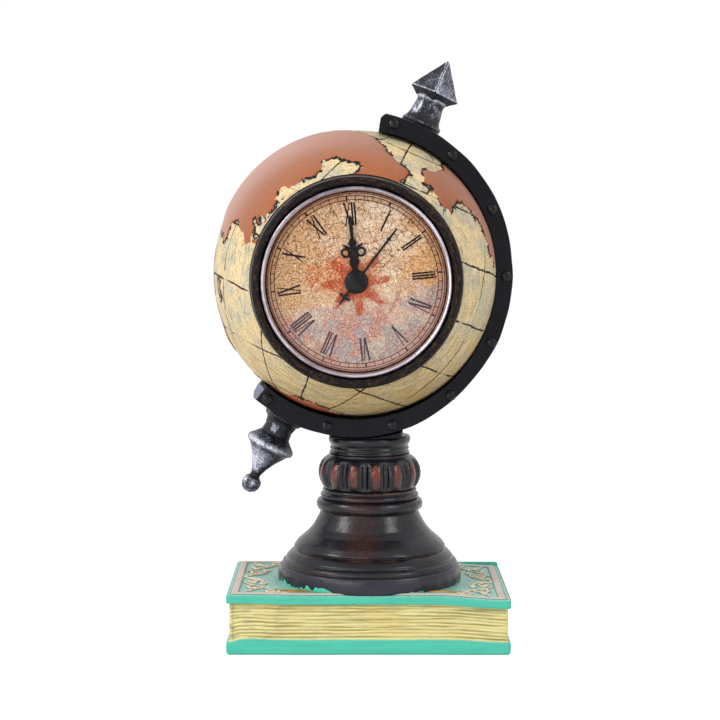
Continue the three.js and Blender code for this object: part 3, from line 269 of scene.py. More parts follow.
# one material with its shader, and short ways to add the nodes that feed it
class Finish:
    def __init__(self, name, **plain):
        self.material = bpy.data.materials.new(name)
        self.material.use_nodes = True
        self.tree = self.material.node_tree
        self.shader = self.tree.nodes["Principled BSDF"]
        for label, value in plain.items():
            self.shader.inputs[label.replace("_", " ")].default_value = value
        self.place = self.add("ShaderNodeTexCoord", {}, "Object").sized(1000)  # millimetres

    # links what a node gives to a socket, or sets the socket to a fixed value
    def feed(self, socket, value):
        if isinstance(value, Value):
            self.tree.links.new(value.socket, socket)
        else:
            socket.default_value = value

    def add(self, kind, inputs, output=0, **settings):
        made = self.tree.nodes.new(kind)
        for label, value in settings.items():
            setattr(made, label, value)
        for label, value in inputs.items():
            self.feed(made.inputs[label], value)
        return Value(self, made.outputs[output])

    def vector(self, operation, first, second=None, size=None):
        inputs = {0: first}
        if second is not None:
            inputs[1] = second
        if size is not None:
            inputs["Scale"] = size
        output = "Value" if operation == "LENGTH" else "Vector"
        return self.add("ShaderNodeVectorMath", inputs, output, operation=operation)

    def sums(self, operation, first, second=0.0):
        return self.add("ShaderNodeMath", {0: first, 1: second}, operation=operation)

    # moves a place so that the given point becomes the origin, then turns and stretches it
    def moved(self, middle=(0, 0, 0), turn=(0, 0, 0), stretch=(1, 1, 1)):
        shifted = self.vector("SUBTRACT", self.place, middle)
        rotation = [math.radians(t) for t in turn]
        turned = self.add("ShaderNodeMapping", {"Vector": shifted, "Rotation": rotation})
        return self.vector("MULTIPLY", turned, stretch)

    def noise(self, size, detail=3.0, rough=0.55, twist=0.0, where=None, output=0):
        inputs = {"Vector": where or self.place, "Scale": 1 / size, "Detail": detail,
                  "Roughness": rough, "Distortion": twist}
        return self.add("ShaderNodeTexNoise", inputs, output)

    # a place that wanders by up to half the given reach, for lines that must not run straight
    def shaken(self, size, reach, where):
        wander = self.vector("SUBTRACT", self.noise(size, 2, where=where, output=1),
                             (0.5, 0.5, 0.5))
        return where.shifted(wander.sized(reach))

    def cells(self, size, feature="F1", where=None):
        inputs = {"Vector": where or self.place, "Scale": 1 / size}
        return self.add("ShaderNodeTexVoronoi", inputs, feature=feature)

    # colours of three numbers are as on screen, 0 to 255; those of four are light
    def blend(self, amount, first, second):
        first, second = (
            tone(*colour) if isinstance(colour, tuple) and len(colour) == 3 else colour
            for colour in (first, second)
        )
        return self.add("ShaderNodeMix", {0: amount, 6: first, 7: second}, 2, data_type="RGBA")

    # coats of [amount, colour], each laid over what lies under it
    def coats(self, colour, *coats):
        for amount, coat in coats:
            colour = self.blend(amount, colour, coat)
        return colour

    def parts(self, place):
        made = self.tree.nodes.new("ShaderNodeSeparateXYZ")
        self.feed(made.inputs[0], place)
        return [Value(self, output) for output in made.outputs]

    def mark(self, label):
        return self.add("ShaderNodeAttribute", {}, "Fac", attribute_name=label)

    # each height map's full range stands for the given depth in millimetres
    def bumps(self, *maps):
        under = None
        for height, depth in maps:
            inputs = {"Strength": 1.0, "Distance": depth / 1000, "Height": height}
            if under is not None:
                inputs["Normal"] = under
            under = self.add("ShaderNodeBump", inputs)
        return under

    def done(self, colour, roughness=None, normal=None):
        for label, value in (("Base Color", colour), ("Roughness", roughness), ("Normal", normal)):
            if value is not None:
                self.feed(self.shader.inputs[label], value)
        return self.material


# The places that several pieces share
shared = {
    "globeMiddle": (-4.5, 0.0, 141.3),
    "globeRadius": 55.0,
    "dialMiddle": (-4.5, 0.0, 139.7),
    "insertTurn": 5.5,
    "poleTilt": 23.4,
    "pedestalX": 0.55,
    "bookTop": 22.4,
    "arcHalfWidth": 59.2,
    "arcHalfHeight": 61.9,
    "fitGap": 0.3,
}
globeMiddle = np.array(shared["globeMiddle"])
dialMiddle = np.array(shared["dialMiddle"])


# a place drawn on the dial, x to the right, y up and height to the front, put on the turned insert
def onDial(points, turn=shared["insertTurn"]):
    angle = math.radians(turn)
    x = points[..., 0] * math.cos(angle) - points[..., 1] * math.sin(angle)
    z = points[..., 0] * math.sin(angle) + points[..., 1] * math.cos(angle)
    return np.stack([dialMiddle[0] + x, -points[..., 2], dialMiddle[2] + z], -1)


# Book

book = {
    "width": 106.5,
    "depth": 70.3,
    "middleY": -0.85,
    "cornerRadius": 1.2,
    "lowerBoard": (0.15, 6.0),
    "pages": (6.0, 19.2),
    "upperBoard": (19.2, 22.4),
    "edgeWave": 0.22,
    "waveLength": 34,
    "lowRound": 1.2,
    "highRound": 0.5,
    "leafGrooves": 10,
    "grooveDepth": 0.5,
    "grooveWidth": 0.36,
    "pageInset": 0.9,
    "stripInset": 2.0,
    "stripWidth": 2.4,
    "stripHeight": 0.6,
    "stripEdge": (-0.35, 0.25),
    "scrollHeight": 0.7,
    "scrollWidth": 0.78,
    "scrollsFrom": 33,  # no scroll lies nearer to the middle
    "spirals": [  # middle x and y, first angle, turns, first and last radius, points
        (42.4, 19.8, -75, 1.45, 3.9, 0.6, 60), (36.6, 27.0, 170, -1.35, 2.9, 0.5, 60),
        (43.9, 8.6, 100, -1.3, 2.5, 0.5, 60), (39.9, 13.6, 250, 1.0, 1.5, 0.4, 30),
    ],
    "tendrils": [  # softness, then x, y and thickness along it
        (0.8, [
            (48.0, 1.2, 1), (45.6, 3.0, 1), (42.0, 5.4, 0.9), (40.2, 8.6, 0.8), (40.6, 11.4, 0.7),
        ]),
        (0.8, [(44.2, 15.8, 0.9), (46.4, 13.4, 0.8), (47.8, 9.8, 0.6)]),
        (0.6, [(38.9, 21.4, 0.9), (37.4, 23.2, 0.8), (34.6, 23.6, 0.5)]),
        (0.8, [(33.9, 28.4, 0.8), (31.4, 30.0, 0.8), (28.2, 30.4, 0.6), (25.4, 29.7, 0.4)]),
        (0.6, [(42.6, 24.0, 0.8), (44.8, 26.4, 0.9), (46.4, 29.8, 0.5)]),
    ],
    "filletInset": 9.2,
    "filletHalf": 2.2,
    "filletHeight": 0.42,
    "filletEnd": 17,
    "filletRightShare": 0.6,
    "lowCornerDip": 1.0,
    "lowDipSpan": (47.5, 52.5),  # where it begins and ends, from the middle
    "lowRightSag": 1.0,
    "lowSagSpan": (30, 52),
    "lowBump": 0.4,
    "lowBumpLeft": 43,
    "lowBumpHalf": 5,
    "leftLift": 0.4,
    "liftSpan": (22, 50),
    "rightSag": 1.6,
    "sagSpan": (24, 52),
    "lip": 0.65,
    "spineThickness": 1.4,
    "spineBulge": 1.6,
    "spineGroove": 0.55,
    "green": (86, 204, 178),
    "paleGreen": (146, 202, 188),
    "deepGreen": (56, 166, 142),
    "wornGreen": (104, 180, 160),
    "chalk": (222, 234, 228),
    "shadow": (44, 96, 80),
    "cream": (240, 226, 200),
    "shadedGold": (160, 134, 82),
    "filletTone": (158, 124, 58),
    "filletLight": (212, 158, 66),
    "stripTone": (216, 200, 190),
    "stripLight": (240, 230, 220),
    "stripMoss": (176, 188, 172),
    "page": (240, 228, 164),
    "pageShade": (184, 168, 104),
    "pageWarm": (232, 206, 128),
    "pageGrey": (168, 166, 138),
    "pageSpeck": (62, 56, 40),
    "pageRim": (190, 168, 90),
}


# how far a rounded edge of the given radius draws in at a distance from the end
def drawnIn(distance, radius):
    reach = np.clip(radius - distance, 0, radius)
    return radius - np.sqrt(radius ** 2 - reach ** 2)


# how far the seam between the lower board and the leaves strays from its level along the width
def lowSeam(x):
    dip = book["lowCornerDip"] * rise(-x, *book["lowDipSpan"])
    sag = book["lowRightSag"] * rise(x, *book["lowSagSpan"])
    bump = np.exp(-((x + book["lowBumpLeft"]) / book["lowBumpHalf"]) ** 2)
    return book["lowBump"] * bump - (dip + sag)


# the same for the upper board, which bends as a whole beside the foot
def highSeam(x):
    lift = book["leftLift"] * rise(-x, *book["liftSpan"])
    return lift - book["rightSag"] * rise(x, *book["sagSpan"])


# A board's section across its depth is a rectangle with rounded edges. It is carried along the
# width, draws in by a quarter circle towards both ends, and closes to a line in the end faces.
# Under a board with a lip the middle lies higher than the rim, which leaves room for the felt.
def boardLoops(levels, lowRound, across, along, lowShift=None, highShift=None, lip=0.0):
    low, high = levels
    highRound, halfDepth = book["highRound"], book["depth"] / 2
    half = book["width"] / 2
    inner = np.linspace(-half + 2, half - 2, along)
    edge = half - np.array([0, 0.05, 0.15, 0.35, 0.65, 1.0, 1.4])
    x = np.concatenate([-edge, inner, edge[::-1]])
    distance = half - np.abs(x)
    shares = np.array([0, 0.35, 0.7])
    squeeze = np.concatenate([shares, np.ones_like(x), shares[::-1]])
    x = np.concatenate([np.full(3, -half), x, np.full(3, half)])
    distance = np.concatenate([np.zeros(3), distance, np.zeros(3)])
    quarter = np.linspace(0, math.pi / 2, 6)
    sine, cosine = 1 - np.sin(quarter), 1 - np.cos(quarter)
    top = np.linspace(0, 1, across)
    bottom = np.concatenate([[0, 0.008], np.linspace(0.025, 0.975, 10), [0.992, 1]])
    section = [  # share of depth, offset in y, share of height, offset in z
        (1 - top, highRound * (2 * top - 1), 1, 0),
        (0, highRound * sine, 1, -highRound * cosine),
        (0, lowRound * cosine, 0, lowRound * sine),
        (bottom, lowRound * (1 - 2 * bottom), 0, 0),
        (1, -lowRound * sine, 0, lowRound * cosine),
        (1, -highRound * cosine, 1, -highRound * sine),
    ]
    rows = [np.broadcast_arrays(*(np.asarray(part, float) for part in line)) for line in section]
    depthShare, offsetY, heightShare, offsetZ = (np.concatenate(list(part)) for part in zip(*rows))
    corner = drawnIn(distance, book["cornerRadius"])[:, None]
    y0 = book["middleY"] - halfDepth + corner
    y1 = book["middleY"] + halfDepth - corner
    lowEdge = low + drawnIn(distance, lowRound)[:, None]
    highEdge = high - drawnIn(distance, highRound)[:, None]
    if lowShift:
        lowEdge += lowShift(x)[:, None]
    if highShift:
        highEdge += highShift(x)[:, None]
    y = y0 + (y1 - y0) * depthShare + offsetY
    flatZ = lowEdge + (highEdge - lowEdge) * heightShare + offsetZ
    fromRim = np.minimum(half - np.abs(x[:, None]), halfDepth - np.abs(y - book["middleY"]))
    flatZ = flatZ + lip * rise(fromRim, 1.5, 1.95) * (heightShare == 0) * (offsetZ == 0)
    middle = (low + high) / 2
    z = middle + (flatZ - middle) * squeeze[:, None]
    loops = np.stack([x[:, None] + 0 * y, y, z], -1)
    side = np.abs(loops[..., 1] - book["middleY"]) / halfDepth
    swell = book["edgeWave"] * unevenness(loops * [1, 0.3, 0.2], book["waveLength"], 5)
    loops[..., 1] += 0.6 * swell * rise(side, 0.9, 1.0) * np.sign(loops[..., 1])
    return loops


# A scroll is a spiral whose radius shrinks evenly while it turns.
def spiral(middleX, middleY, start, turns, wide, narrow, points):
    share = np.linspace(0, 1, points)
    angle = math.radians(start) + turns * 2 * math.pi * share
    radius = wide + (narrow - wide) * share
    thick = 1 - 0.45 * share
    return np.stack([middleX + radius * np.cos(angle), middleY + radius * np.sin(angle), thick], 1)


# One quarter of the cover's scrollwork; the other three are its mirror images.
def scrollLines():
    curls = [spiral(*numbers) for numbers in book["spirals"]]
    return curls + [softLine(points, 0.4, softness) for softness, points in book["tendrils"]]


# height of the cover's top and what is gilded on it: raised strips round the edge, a fillet along
# the front and the back, and scrolls with a round section
def coverRelief(x, y):
    across = book["width"] / 2 - np.abs(x)
    back = book["depth"] / 2 - np.abs(y - book["middleY"])
    inner = np.minimum(across, back) - book["stripInset"]
    strip = rise(inner, *book["stripEdge"]) * rise(book["stripWidth"] - inner, *book["stripEdge"])
    half = book["filletHalf"] * np.where(x < 0, 1, book["filletRightShare"])
    fillet = rise(half - np.abs(back - book["filletInset"]), 0.0, 0.5)
    fillet = fillet * rise(across - book["filletEnd"], 0, 2.5)
    lines = np.vstack(scrollLines())
    aside = np.stack([np.abs(x), np.abs(y - book["middleY"])], -1).reshape(-1, 2)
    scroll = np.zeros(len(aside))
    near = np.flatnonzero(np.hypot(aside[:, 0], aside[:, 1]) > book["scrollsFrom"])
    for block in np.array_split(near, 40):
        gap = np.linalg.norm(aside[block][:, None] - lines[None, :, :2], axis=2)
        width = book["scrollWidth"] * lines[:, 2]
        dome = np.sqrt(np.clip(1 - (gap / width) ** 2, 0, 1)) * lines[:, 2]
        scroll[block] = dome.max(1)
    scroll = scroll.reshape(x.shape)
    rough = unevenness(np.stack([x, y, 0 * x], -1), 2.6, 8)
    scrolls = book["scrollHeight"] * scroll * (1 + 0.15 * rough)
    height = np.maximum.reduce([book["stripHeight"] * strip, scrolls,
                                book["filletHeight"] * fillet])
    gilding = np.maximum.reduce([strip, fillet, np.clip(scroll * 1.4, 0, 1)])
    return height, {"gilding": gilding, "strip": strip, "fillet": fillet * (scroll < 0.1)}


# green paint, rubbed pale on what faces up; on the raised ornament cream in the middle and gold on
# the flanks, which is painted shade of its round section, with a painted shadow round it
def bookPaint():
    paint = Finish("bookPaint", Specular_IOR_Level=0.3)
    upward = paint.parts(paint.add("ShaderNodeNewGeometry", {}, "Normal"))[2]
    wash = paint.noise(7, 4, 0.6)
    streak = paint.noise(1, 3, 0.6, where=paint.moved(stretch=(0.05, 0.3, 0.6)))
    speck = paint.noise(0.6, 3, 0.7)
    gild = paint.mark("gilding")
    pale = paint.coats(book["paleGreen"], (speck.fade(0.46, 0.6, 0, 0.7), book["chalk"]),
                       (speck.fade(0.36, 0.46, 0.5, 0), book["wornGreen"]))
    flank = gild + paint.noise(1.6, 3).fade(0.3, 0.7, -0.2, 0.2)
    fillet = paint.blend(wash.fade(0.45, 0.6), book["filletTone"], book["filletLight"])
    strip = paint.coats(book["stripTone"], (speck.fade(0.5, 0.66, 0, 0.6), book["stripLight"]),
                        (wash.fade(0.5, 0.7, 0, 0.4), book["stripMoss"]))
    # cream on the crests of the ornament, and gold on its flanks as painted shade
    metal = paint.coats(book["shadedGold"], (flank.fade(0.62, 0.82), book["cream"]),
                        (paint.mark("fillet").fade(0.2, 0.5), fillet),
                        (paint.mark("strip").fade(0.3, 0.6), strip))
    ragged = gild + paint.noise(0.8, 2).fade(0.2, 0.8, -0.15, 0.15)
    colour = paint.coats(
        book["green"],
        (streak.fade(0.35, 0.75, 0, 0.3), book["deepGreen"]),
        (upward.fade(0.6, 0.95) * wash.fade(0.25, 0.6, 0.55, 1.0), pale),
        (ragged.fade(0.35, 0.5), metal),
        (abs(gild - 0.2).fade(0.05, 0.2, 0.8, 0), book["shadow"]),
    )
    grain = paint.bumps((paint.noise(0.7, 3), 0.09), (paint.noise(6, 2), 0.25))
    return paint.done(colour, wash.fade(0.3, 0.7, 0.42, 0.62), grain)


# leaves with painted shade in their grooves, warm and grey patches, a few dark specks and a painted
# shaded line at the top, under the board
def leafPaint():
    paint = Finish("leafPaint", Specular_IOR_Level=0.25)
    side, _, height = paint.parts(paint.place)
    lines = paint.noise(1, 2, 0.5, where=paint.moved(stretch=(0.04, 0.04, 2.6)))
    depth = paint.mark("groove") + lines.fade(0.3, 0.7, -0.1, 0.35)
    grey = paint.noise(3, 4, 0.65, where=paint.moved(stretch=(0.5, 0.5, 2)))
    top = book["pages"][1]
    colour = paint.coats(
        book["page"],
        (depth.fade(0.25, 1.0), book["pageShade"]),
        (paint.noise(14, 3).fade(0.45, 0.7, 0, 0.45), book["pageWarm"]),
        (grey.fade(0.5, 0.66) * side.fade(-50, -20, 0.75, 0.3), book["pageGrey"]),
        (paint.cells(5.5).fade(0.03, 0.08, 0.85, 0) * side.fade(34, 46, 0.1, 1), book["pageSpeck"]),
        (height.fade(top - 1.1, top, 0, 0.35), book["pageRim"]),
    )
    return paint.done(colour, 0.6, paint.bumps((lines, 0.25), (paint.noise(0.8, 2), 0.06)))


# The leaves' outline in plan is a rectangle with small round corners. Going up it, the wandering
# grooves of the leaf edges draw it in at the front and at both ends.
def pageLoops():
    low, high = book["pages"]
    halfX = book["width"] / 2 - book["pageInset"]
    front = book["middleY"] - book["depth"] / 2 + book["pageInset"]
    back = book["middleY"] + book["depth"] / 2
    plan = softLine([(-halfX, back), (-halfX, front), (halfX, front), (halfX, back)], 0.55, 0.5,
                    True)
    heights = np.linspace(low, high, 96)
    x, y = plan[:, 0], plan[:, 1]
    around = np.stack([x, y, 0 * x], 1)
    depth = np.zeros((len(heights), len(plan)))
    for line in range(book["leafGrooves"]):
        level = low + (high - low) * (line + 0.6) / book["leafGrooves"]
        wander = 0.24 * unevenness(around, 42, 20 + line) + 0.1 * unevenness(around, 12, 40 + line)
        strength = np.clip(0.72 + 0.3 * unevenness(around, 22, 60 + line), 0.35, 1)
        gap = np.abs(heights[:, None] - level - wander)
        depth = np.maximum(depth, strength * np.exp(-(gap / book["grooveWidth"]) ** 2))
    shut = rise(back - 1.5 - y, -0.8, 0.8)
    inward = np.array([0, book["middleY"]]) - plan
    atEnd = np.abs(np.abs(x) - halfX)[:, None] < 1.2
    inward = np.where(atEnd, inward * [1, 0], inward * [0, 1])
    inward /= np.linalg.norm(inward, axis=1)[:, None] + 1e-9
    places = np.stack([x[None] + 0 * depth, y[None] + 0 * depth, heights[:, None] + 0 * depth], -1)
    slack = 0.25 + 0.2 * unevenness(places, 18, 77)
    shift = (book["grooveDepth"] * depth + slack * 0.6) * shut
    flat = plan[None] + inward[None] * shift[..., None]
    share = ((heights - low) / (high - low))[:, None]
    z = heights[:, None] + (1 - share) * lowSeam(x) + share * highSeam(x)
    return np.concatenate([flat, z[..., None]], -1), (depth * shut).ravel()


# The spine's section is a strip whose outer face bulges in one even curve, with a shallow
# groove near each board; it is carried along the book's width.
def spineLoops():
    back = book["middleY"] + book["depth"] / 2
    low, high = book["lowerBoard"][0], book["upperBoard"][1]
    share = np.linspace(0, 1, 48)
    bulge = book["spineThickness"] + 4 * book["spineBulge"] * share * (1 - share)
    grooves = np.exp(-((share - 0.17) / 0.035) ** 2) + np.exp(-((share - 0.85) / 0.035) ** 2)
    outer = np.stack([back + bulge - book["spineGroove"] * grooves, low + (high - low) * share], 1)
    section = softLine(np.vstack([outer, [(back, high), (back, low)]]), 0.45, 0.25, True)
    half = book["width"] / 2
    x = np.concatenate([[-half, -half + 0.3], np.linspace(-half + 1, half - 1, 90),
                        [half - 0.3, half]])
    middle = section.mean(0)
    squeeze = 1 - drawnIn(half - np.abs(x), 0.8)[:, None, None] / 6
    flat = middle + (section[None] - middle) * squeeze
    loops = np.concatenate([np.broadcast_to(x[:, None, None], flat[..., :1].shape), flat], -1)
    loops[..., 1] += 0.12 * unevenness(loops, 16, 91) * rise(loops[..., 1], back + 0.4, back + 1)
    return loops


coverFinish = bookPaint()
lowerLoops = boardLoops(book["lowerBoard"], book["lowRound"], 60, 150, None, lowSeam, book["lip"])
addPiece("lower_board", shellFrom(lowerLoops), coverFinish, ["book_lower_board"])
upperLoops = boardLoops(book["upperBoard"], book["highRound"], 230, 326, highSeam, highSeam)
topHeight, topMarks = coverRelief(upperLoops[..., 0], upperLoops[..., 1])
onTop = upperLoops[..., 2] - highSeam(upperLoops[..., 0]) > book["upperBoard"][1] - 0.01
upperLoops[..., 2] += topHeight * onTop
addPiece("upper_board", shellFrom(upperLoops), coverFinish,
         ["book_upper_board", "cover_border_left", "cover_border_right"],
         marks={label: (values * onTop).ravel() for label, values in topMarks.items()})
leaves, grooves = pageLoops()
addPiece("page_block", shellFrom(leaves), leafPaint(), ["book_page_block"],
         marks={"groove": grooves})
addPiece("spine", shellFrom(spineLoops()), coverFinish, ["book_spine"])
print("book made")


# Pedestal

pedestal = {
    "segments": 220,
    "step": 0.3,
    "unevenDepth": 0.07,
    "unevenSize": 7,
    "unevenMiddle": 60,
    "foot": [
        (3.3, 0), (35.2, 0), (35.6, 0.5), (35.65, 2.5), (35.55, 4.4), (35.2, 5.7), (34.7, 6.25),
        (34.1, 6.35), (33.9, 6.65), (34.15, 6.9), (33.9, 7.7), (33.3, 8.3), (32.8, 8.6),
        (32.4, 8.8), (32.3, 9.1), (32.4, 9.6), (31.7, 10.4), (30.95, 11.2), (30.2, 11.8),
        (29.5, 12.15), (29.15, 12.4), (29.2, 12.7), (29.6, 12.95), (29.5, 13.5), (29.0, 14.2),
        (28.0, 15.5), (26.9, 16.5), (24.2, 18.8), (22.2, 21.1), (20.8, 23.4), (19.8, 25.2),
        (19.2, 26.6), (18.9, 27.1), (19.1, 27.4), (19.9, 27.8), (20.5, 28.7), (20.75, 29.8),
        (20.65, 30.7), (20.1, 31.6), (19.2, 31.95), (18.6, 32.1), (18.9, 32.4), (19.2, 33.1),
        (19.0, 33.9), (18.4, 34.3), (18.0, 34.5), (18.1, 34.8), (18.4, 35.3), (18.1, 35.8),
        (17.6, 36.0), (3.3, 36.0),
    ],
    "knopBottom": 58.4,
    "knop": [
        (3.3, 0), (17.3, 0), (17.9, 0.25), (18.5, 1.0), (19.3, 2.4), (19.9, 4.4), (20.0, 6.4),
        (19.7, 8.4), (18.9, 10.2), (17.6, 11.7), (16.4, 12.5), (15.6, 12.8), (15.8, 13.1),
        (15.7, 13.6), (3.3, 13.6),
    ],
    "lobes": 14,
    "crestAngle": 7.3,
    "lobeDip": 2.6,
    "ribHeight": 1.3,
    "collarBottom": 72.0,
    "collar": [
        (3.3, 0), (15.0, 0), (15.5, 0.3), (15.5, 0.8), (15.05, 1.15), (15.05, 1.5), (15.4, 1.85),
        (15.4, 2.3), (15.0, 2.7), (14.9, 3.0), (15.3, 3.6), (15.8, 4.5), (15.98, 5.4), (15.8, 6.2),
        (15.4, 6.7), (14.9, 7.0), (3.3, 7.0),
    ],
    "seamLevels": (34.6, 29.2),
    "baseBand": 28.8,
    "dark": (18, 18, 27),
    "darkBrown": (38, 30, 34),
    "hollow": (10, 10, 13),
    "brown": (64, 34, 26),
    "rust": (98, 56, 44),
    "seam": (96, 64, 56),
    "redRust": (132, 48, 34),
    "stain": (66, 30, 27),
    "baseSheen": (50, 50, 64),
    "lowRust": (100, 58, 46),
    "edge": (150, 152, 166),
    "creep": 2.4,
}


# glossy dark paint with lighter stains, rubbed through to rust on the edges that stand out, and
# with painted shade in the hollows. On the foot a brown patch runs down the front, worn seams go
# round, a bluish grey band of painted sheen goes round near its base, and the book's paint creeps
# up the rim in places.
def pedestalPaint(name, rust, lowRust, foot=False):
    paint = Finish(name, Specular_IOR_Level=0.34)
    cloud = paint.noise(9, 4, 0.6)
    fine = paint.noise(0.9, 3, 0.6)
    x, y, height = paint.parts(paint.place)
    colour = paint.blend(cloud.fade(0.48, 0.75, 0, 0.5), pedestal["dark"], pedestal["darkBrown"])
    if foot:
        patch = abs(x + 2.0).fade(1, 11, 1, 0) * fine.fade(0.4, 0.62, 0.25, 1)
        patch = patch * height.fade(31, 38, 0.0, 0.85) * cloud.fade(0.3, 0.5, 0.4, 1)
        high, low = (abs(height - level) for level in pedestal["seamLevels"])
        seams = high.fade(0.2, 0.6, 0.7, 0) + low.fade(0.2, 0.5, 0.6, 0) * x.fade(-4, -14, 0, 1)
        seams = seams * cloud.fade(0.38, 0.52) * fine.fade(0.3, 0.6, 0.2, 0.8)
        band = pedestal["baseBand"]
        # the bluish grey band near the base is a painted sheen
        colour = paint.coats(colour, (patch, pedestal["brown"]), (seams, pedestal["seam"]),
                             (height.fade(band, band - 0.6, 0, 0.55), pedestal["baseSheen"]))
    spread = 0.06 if foot else 0.12
    bare = paint.mark("crest") + fine.fade(0.25, 0.75, -spread, spread)
    bare = bare + cloud.fade(0.3, 0.7, -0.12, 0.12)
    rubbed = paint.coats(lowRust, (height.fade(61, 67), rust),
                         (paint.noise(1.7, 3).fade(0.48, 0.62, 0, 0.75), pedestal["stain"]))
    # the hollow tone is painted shade where the profile lies back
    colour = paint.coats(colour, (bare.fade(0.26, 0.38, 0, 0.8), rubbed),
                         (bare.fade(0.62, 0.8, 0, 0.5), pedestal["edge"]),
                         (bare.fade(-0.24, -0.08, 0.85, 0), pedestal["hollow"]))
    roughness = cloud.fade(0.3, 0.7, 0.22, 0.32)
    if foot:
        reach = paint.noise(5.5, 1.5, 0.5, where=paint.moved(stretch=(1, 1, 0.12)))
        left = x.fade(-11, -18, 0, 1) * x.fade(-36, -33, 0, 1)
        right = x.fade(14.6, 16, 0, 0.6) * x.fade(22, 20.5, 0, 1)
        limit = reach.fade(0.38, 0.62, 0.5, pedestal["creep"]) * (left + right)
        limit = limit * y.fade(-12, -6, 1, 0)
        splash = (height - shared["bookTop"] - limit).fade(-0.1, 0.02, 1, 0)
        colour = paint.blend(splash, colour, book["green"])
        roughness = paint.blend(splash, roughness, (0.5, 0.5, 0.5, 1))
    return paint.done(colour, roughness, paint.bumps((fine, 0.035), (paint.noise(3.5, 3), 0.15)))


# A turned profile; the crest mark tells how far each line of it stands out from its neighbours.
def turnedPiece(name, corners, bottom, finish, node):
    segments, middleX = pedestal["segments"], shared["pedestalX"]
    profile = softLine(corners, pedestal["step"], 0.16, True)
    crest = standOut(profile, pedestal["step"], 0.7) * 1.3
    loops = turnedLoops(profile + [0, bottom], segments, (middleX, 0, 0))
    uneven = pedestal["unevenDepth"] * unevenness(loops, pedestal["unevenSize"], 31)[..., None]
    loops += uneven * (loops - [middleX, 0, pedestal["unevenMiddle"]]) / 30
    marks = {"crest": np.repeat(crest, segments)}
    addPiece(name, shellFrom(loops, "join"), finish, [node], marks=marks)


# The knop's radius dips between the lobes, and a narrow rib stands in each dip; both fade out
# towards the rings above and below. A worn oval runs up each crest.
def knopPiece(finish):
    profile = softLine(pedestal["knop"], pedestal["step"], 0.16, True)
    crest = standOut(profile, pedestal["step"], 1.1)
    angle = fullTurn(pedestal["lobes"] * 36)
    turn = (angle - math.radians(pedestal["crestAngle"] - 90)) * pedestal["lobes"] / (2 * math.pi)
    fromCrest = np.abs((turn + 0.5) % 1 - 0.5) * 2  # 0 on a crest, 1 in the middle of a dip
    radius, height = profile[:, :1], profile[:, 1:]
    body = rise(height, 0.2, 2.4) * rise(12.7 - height, 0, 3.6) * (radius > 10)
    dip = 1 - np.sqrt(np.clip(1 - (fromCrest / 0.86) ** 2, 0, 1))
    rib = np.sqrt(np.clip(1 - ((1 - fromCrest) / 0.2) ** 2, 0, 1))
    swing = -pedestal["lobeDip"] * np.clip(dip, 0, 0.85) + pedestal["ribHeight"] * rib
    loops = aroundAxis(radius + body * swing, height + pedestal["knopBottom"], angle)
    loops += [shared["pedestalX"], 0, 0]
    narrow = 0.4 * np.sqrt(np.clip(1 - ((height - 5.9) / 5.6) ** 2, 0, 1))
    stripe = 0.62 * rise(narrow - fromCrest, -0.03, 0.09)
    # the mark drops in the dips between the lobes, which the paint turns to painted shade
    stripe = stripe - 0.3 * rise(fromCrest, 0.6, 0.75) + 0.3 * rib
    marks = {"crest": (0.15 * crest[:, None] + body * stripe - 0.06).ravel()}
    addPiece("knop", shellFrom(loops, "join"), finish, ["pedestal_knop"], marks=marks)


footFinish = pedestalPaint("footPaint", pedestal["rust"], pedestal["rust"], True)
turnedPiece("foot", pedestal["foot"], shared["bookTop"], footFinish, "pedestal_foot")
knopPiece(pedestalPaint("knopPaint", pedestal["redRust"], pedestal["lowRust"]))
collarFinish = pedestalPaint("collarPaint", pedestal["brown"], pedestal["brown"])
turnedPiece("collar", pedestal["collar"], pedestal["collarBottom"], collarFinish, "pedestal_collar")
print("pedestal made")


# Arc, saddle and rivets

arc = {
    "depth": 32.0,
    "start": 8.8,
    "end": 221.6,
    "bore": 55.3,
    "edgeRound": 0.9,
    "endChamfer": 1.6,
    "flatSpot": (136, 26, 0.95),  # clock-face angle, half width and depth of a flatter stretch
    "frontRelief": 1.9,
    "endBevel": 3.0,
    "unevenDepth": 0.12,
    "unevenSize": 15,
    "saddle": (79.0, 28.4, 31.0, 8.0, -1.4),  # bottom, width, depth, corner radius, offset in x
    "rivetHalfWidth": 56.6,
    "rivetHalfHeight": 58.6,
    "rivetFirst": 14.4,
    "rivetLast": 216.8,
    "rivetCount": 9,
    "rivetRadius": 2.1,
    "rivetHeight": 1.15,
    "saddleRows": [  # share of the plan's size, share of the height
        (0.3, 0), (0.7, 0), (0.97, 0), (1, 0.12), (1, 0.5), (1, 0.88), (0.97, 1), (0.7, 1),
        (0.3, 1),
    ],
    "black": (17, 17, 22),
    "softBlack": (30, 30, 38),
    "grey": (58, 60, 70),
    "glare": (128, 130, 150),
}


# black paint with grey specks, and a painted highlight in the glare tone where the crest mark is
# high
def arcPaint(name, gloss, low, high):
    paint = Finish(name, Specular_IOR_Level=gloss)
    cloud = paint.noise(11, 3)
    fine = paint.noise(1.1, 3)
    bare = paint.mark("crest") + fine.fade(0.3, 0.7, -0.15, 0.15)
    colour = paint.coats(arc["black"], (cloud.fade(0.35, 0.75, 0, 0.5), arc["softBlack"]),
                         (fine.fade(0.6, 0.8, 0, 0.35), arc["grey"]),
                         (bare.fade(0.3, 0.8), arc["glare"]))
    grain = paint.bumps((fine, 0.05), (paint.noise(6, 2), 0.3))
    return paint.done(colour, cloud.fade(0.3, 0.7, low, high), grain)
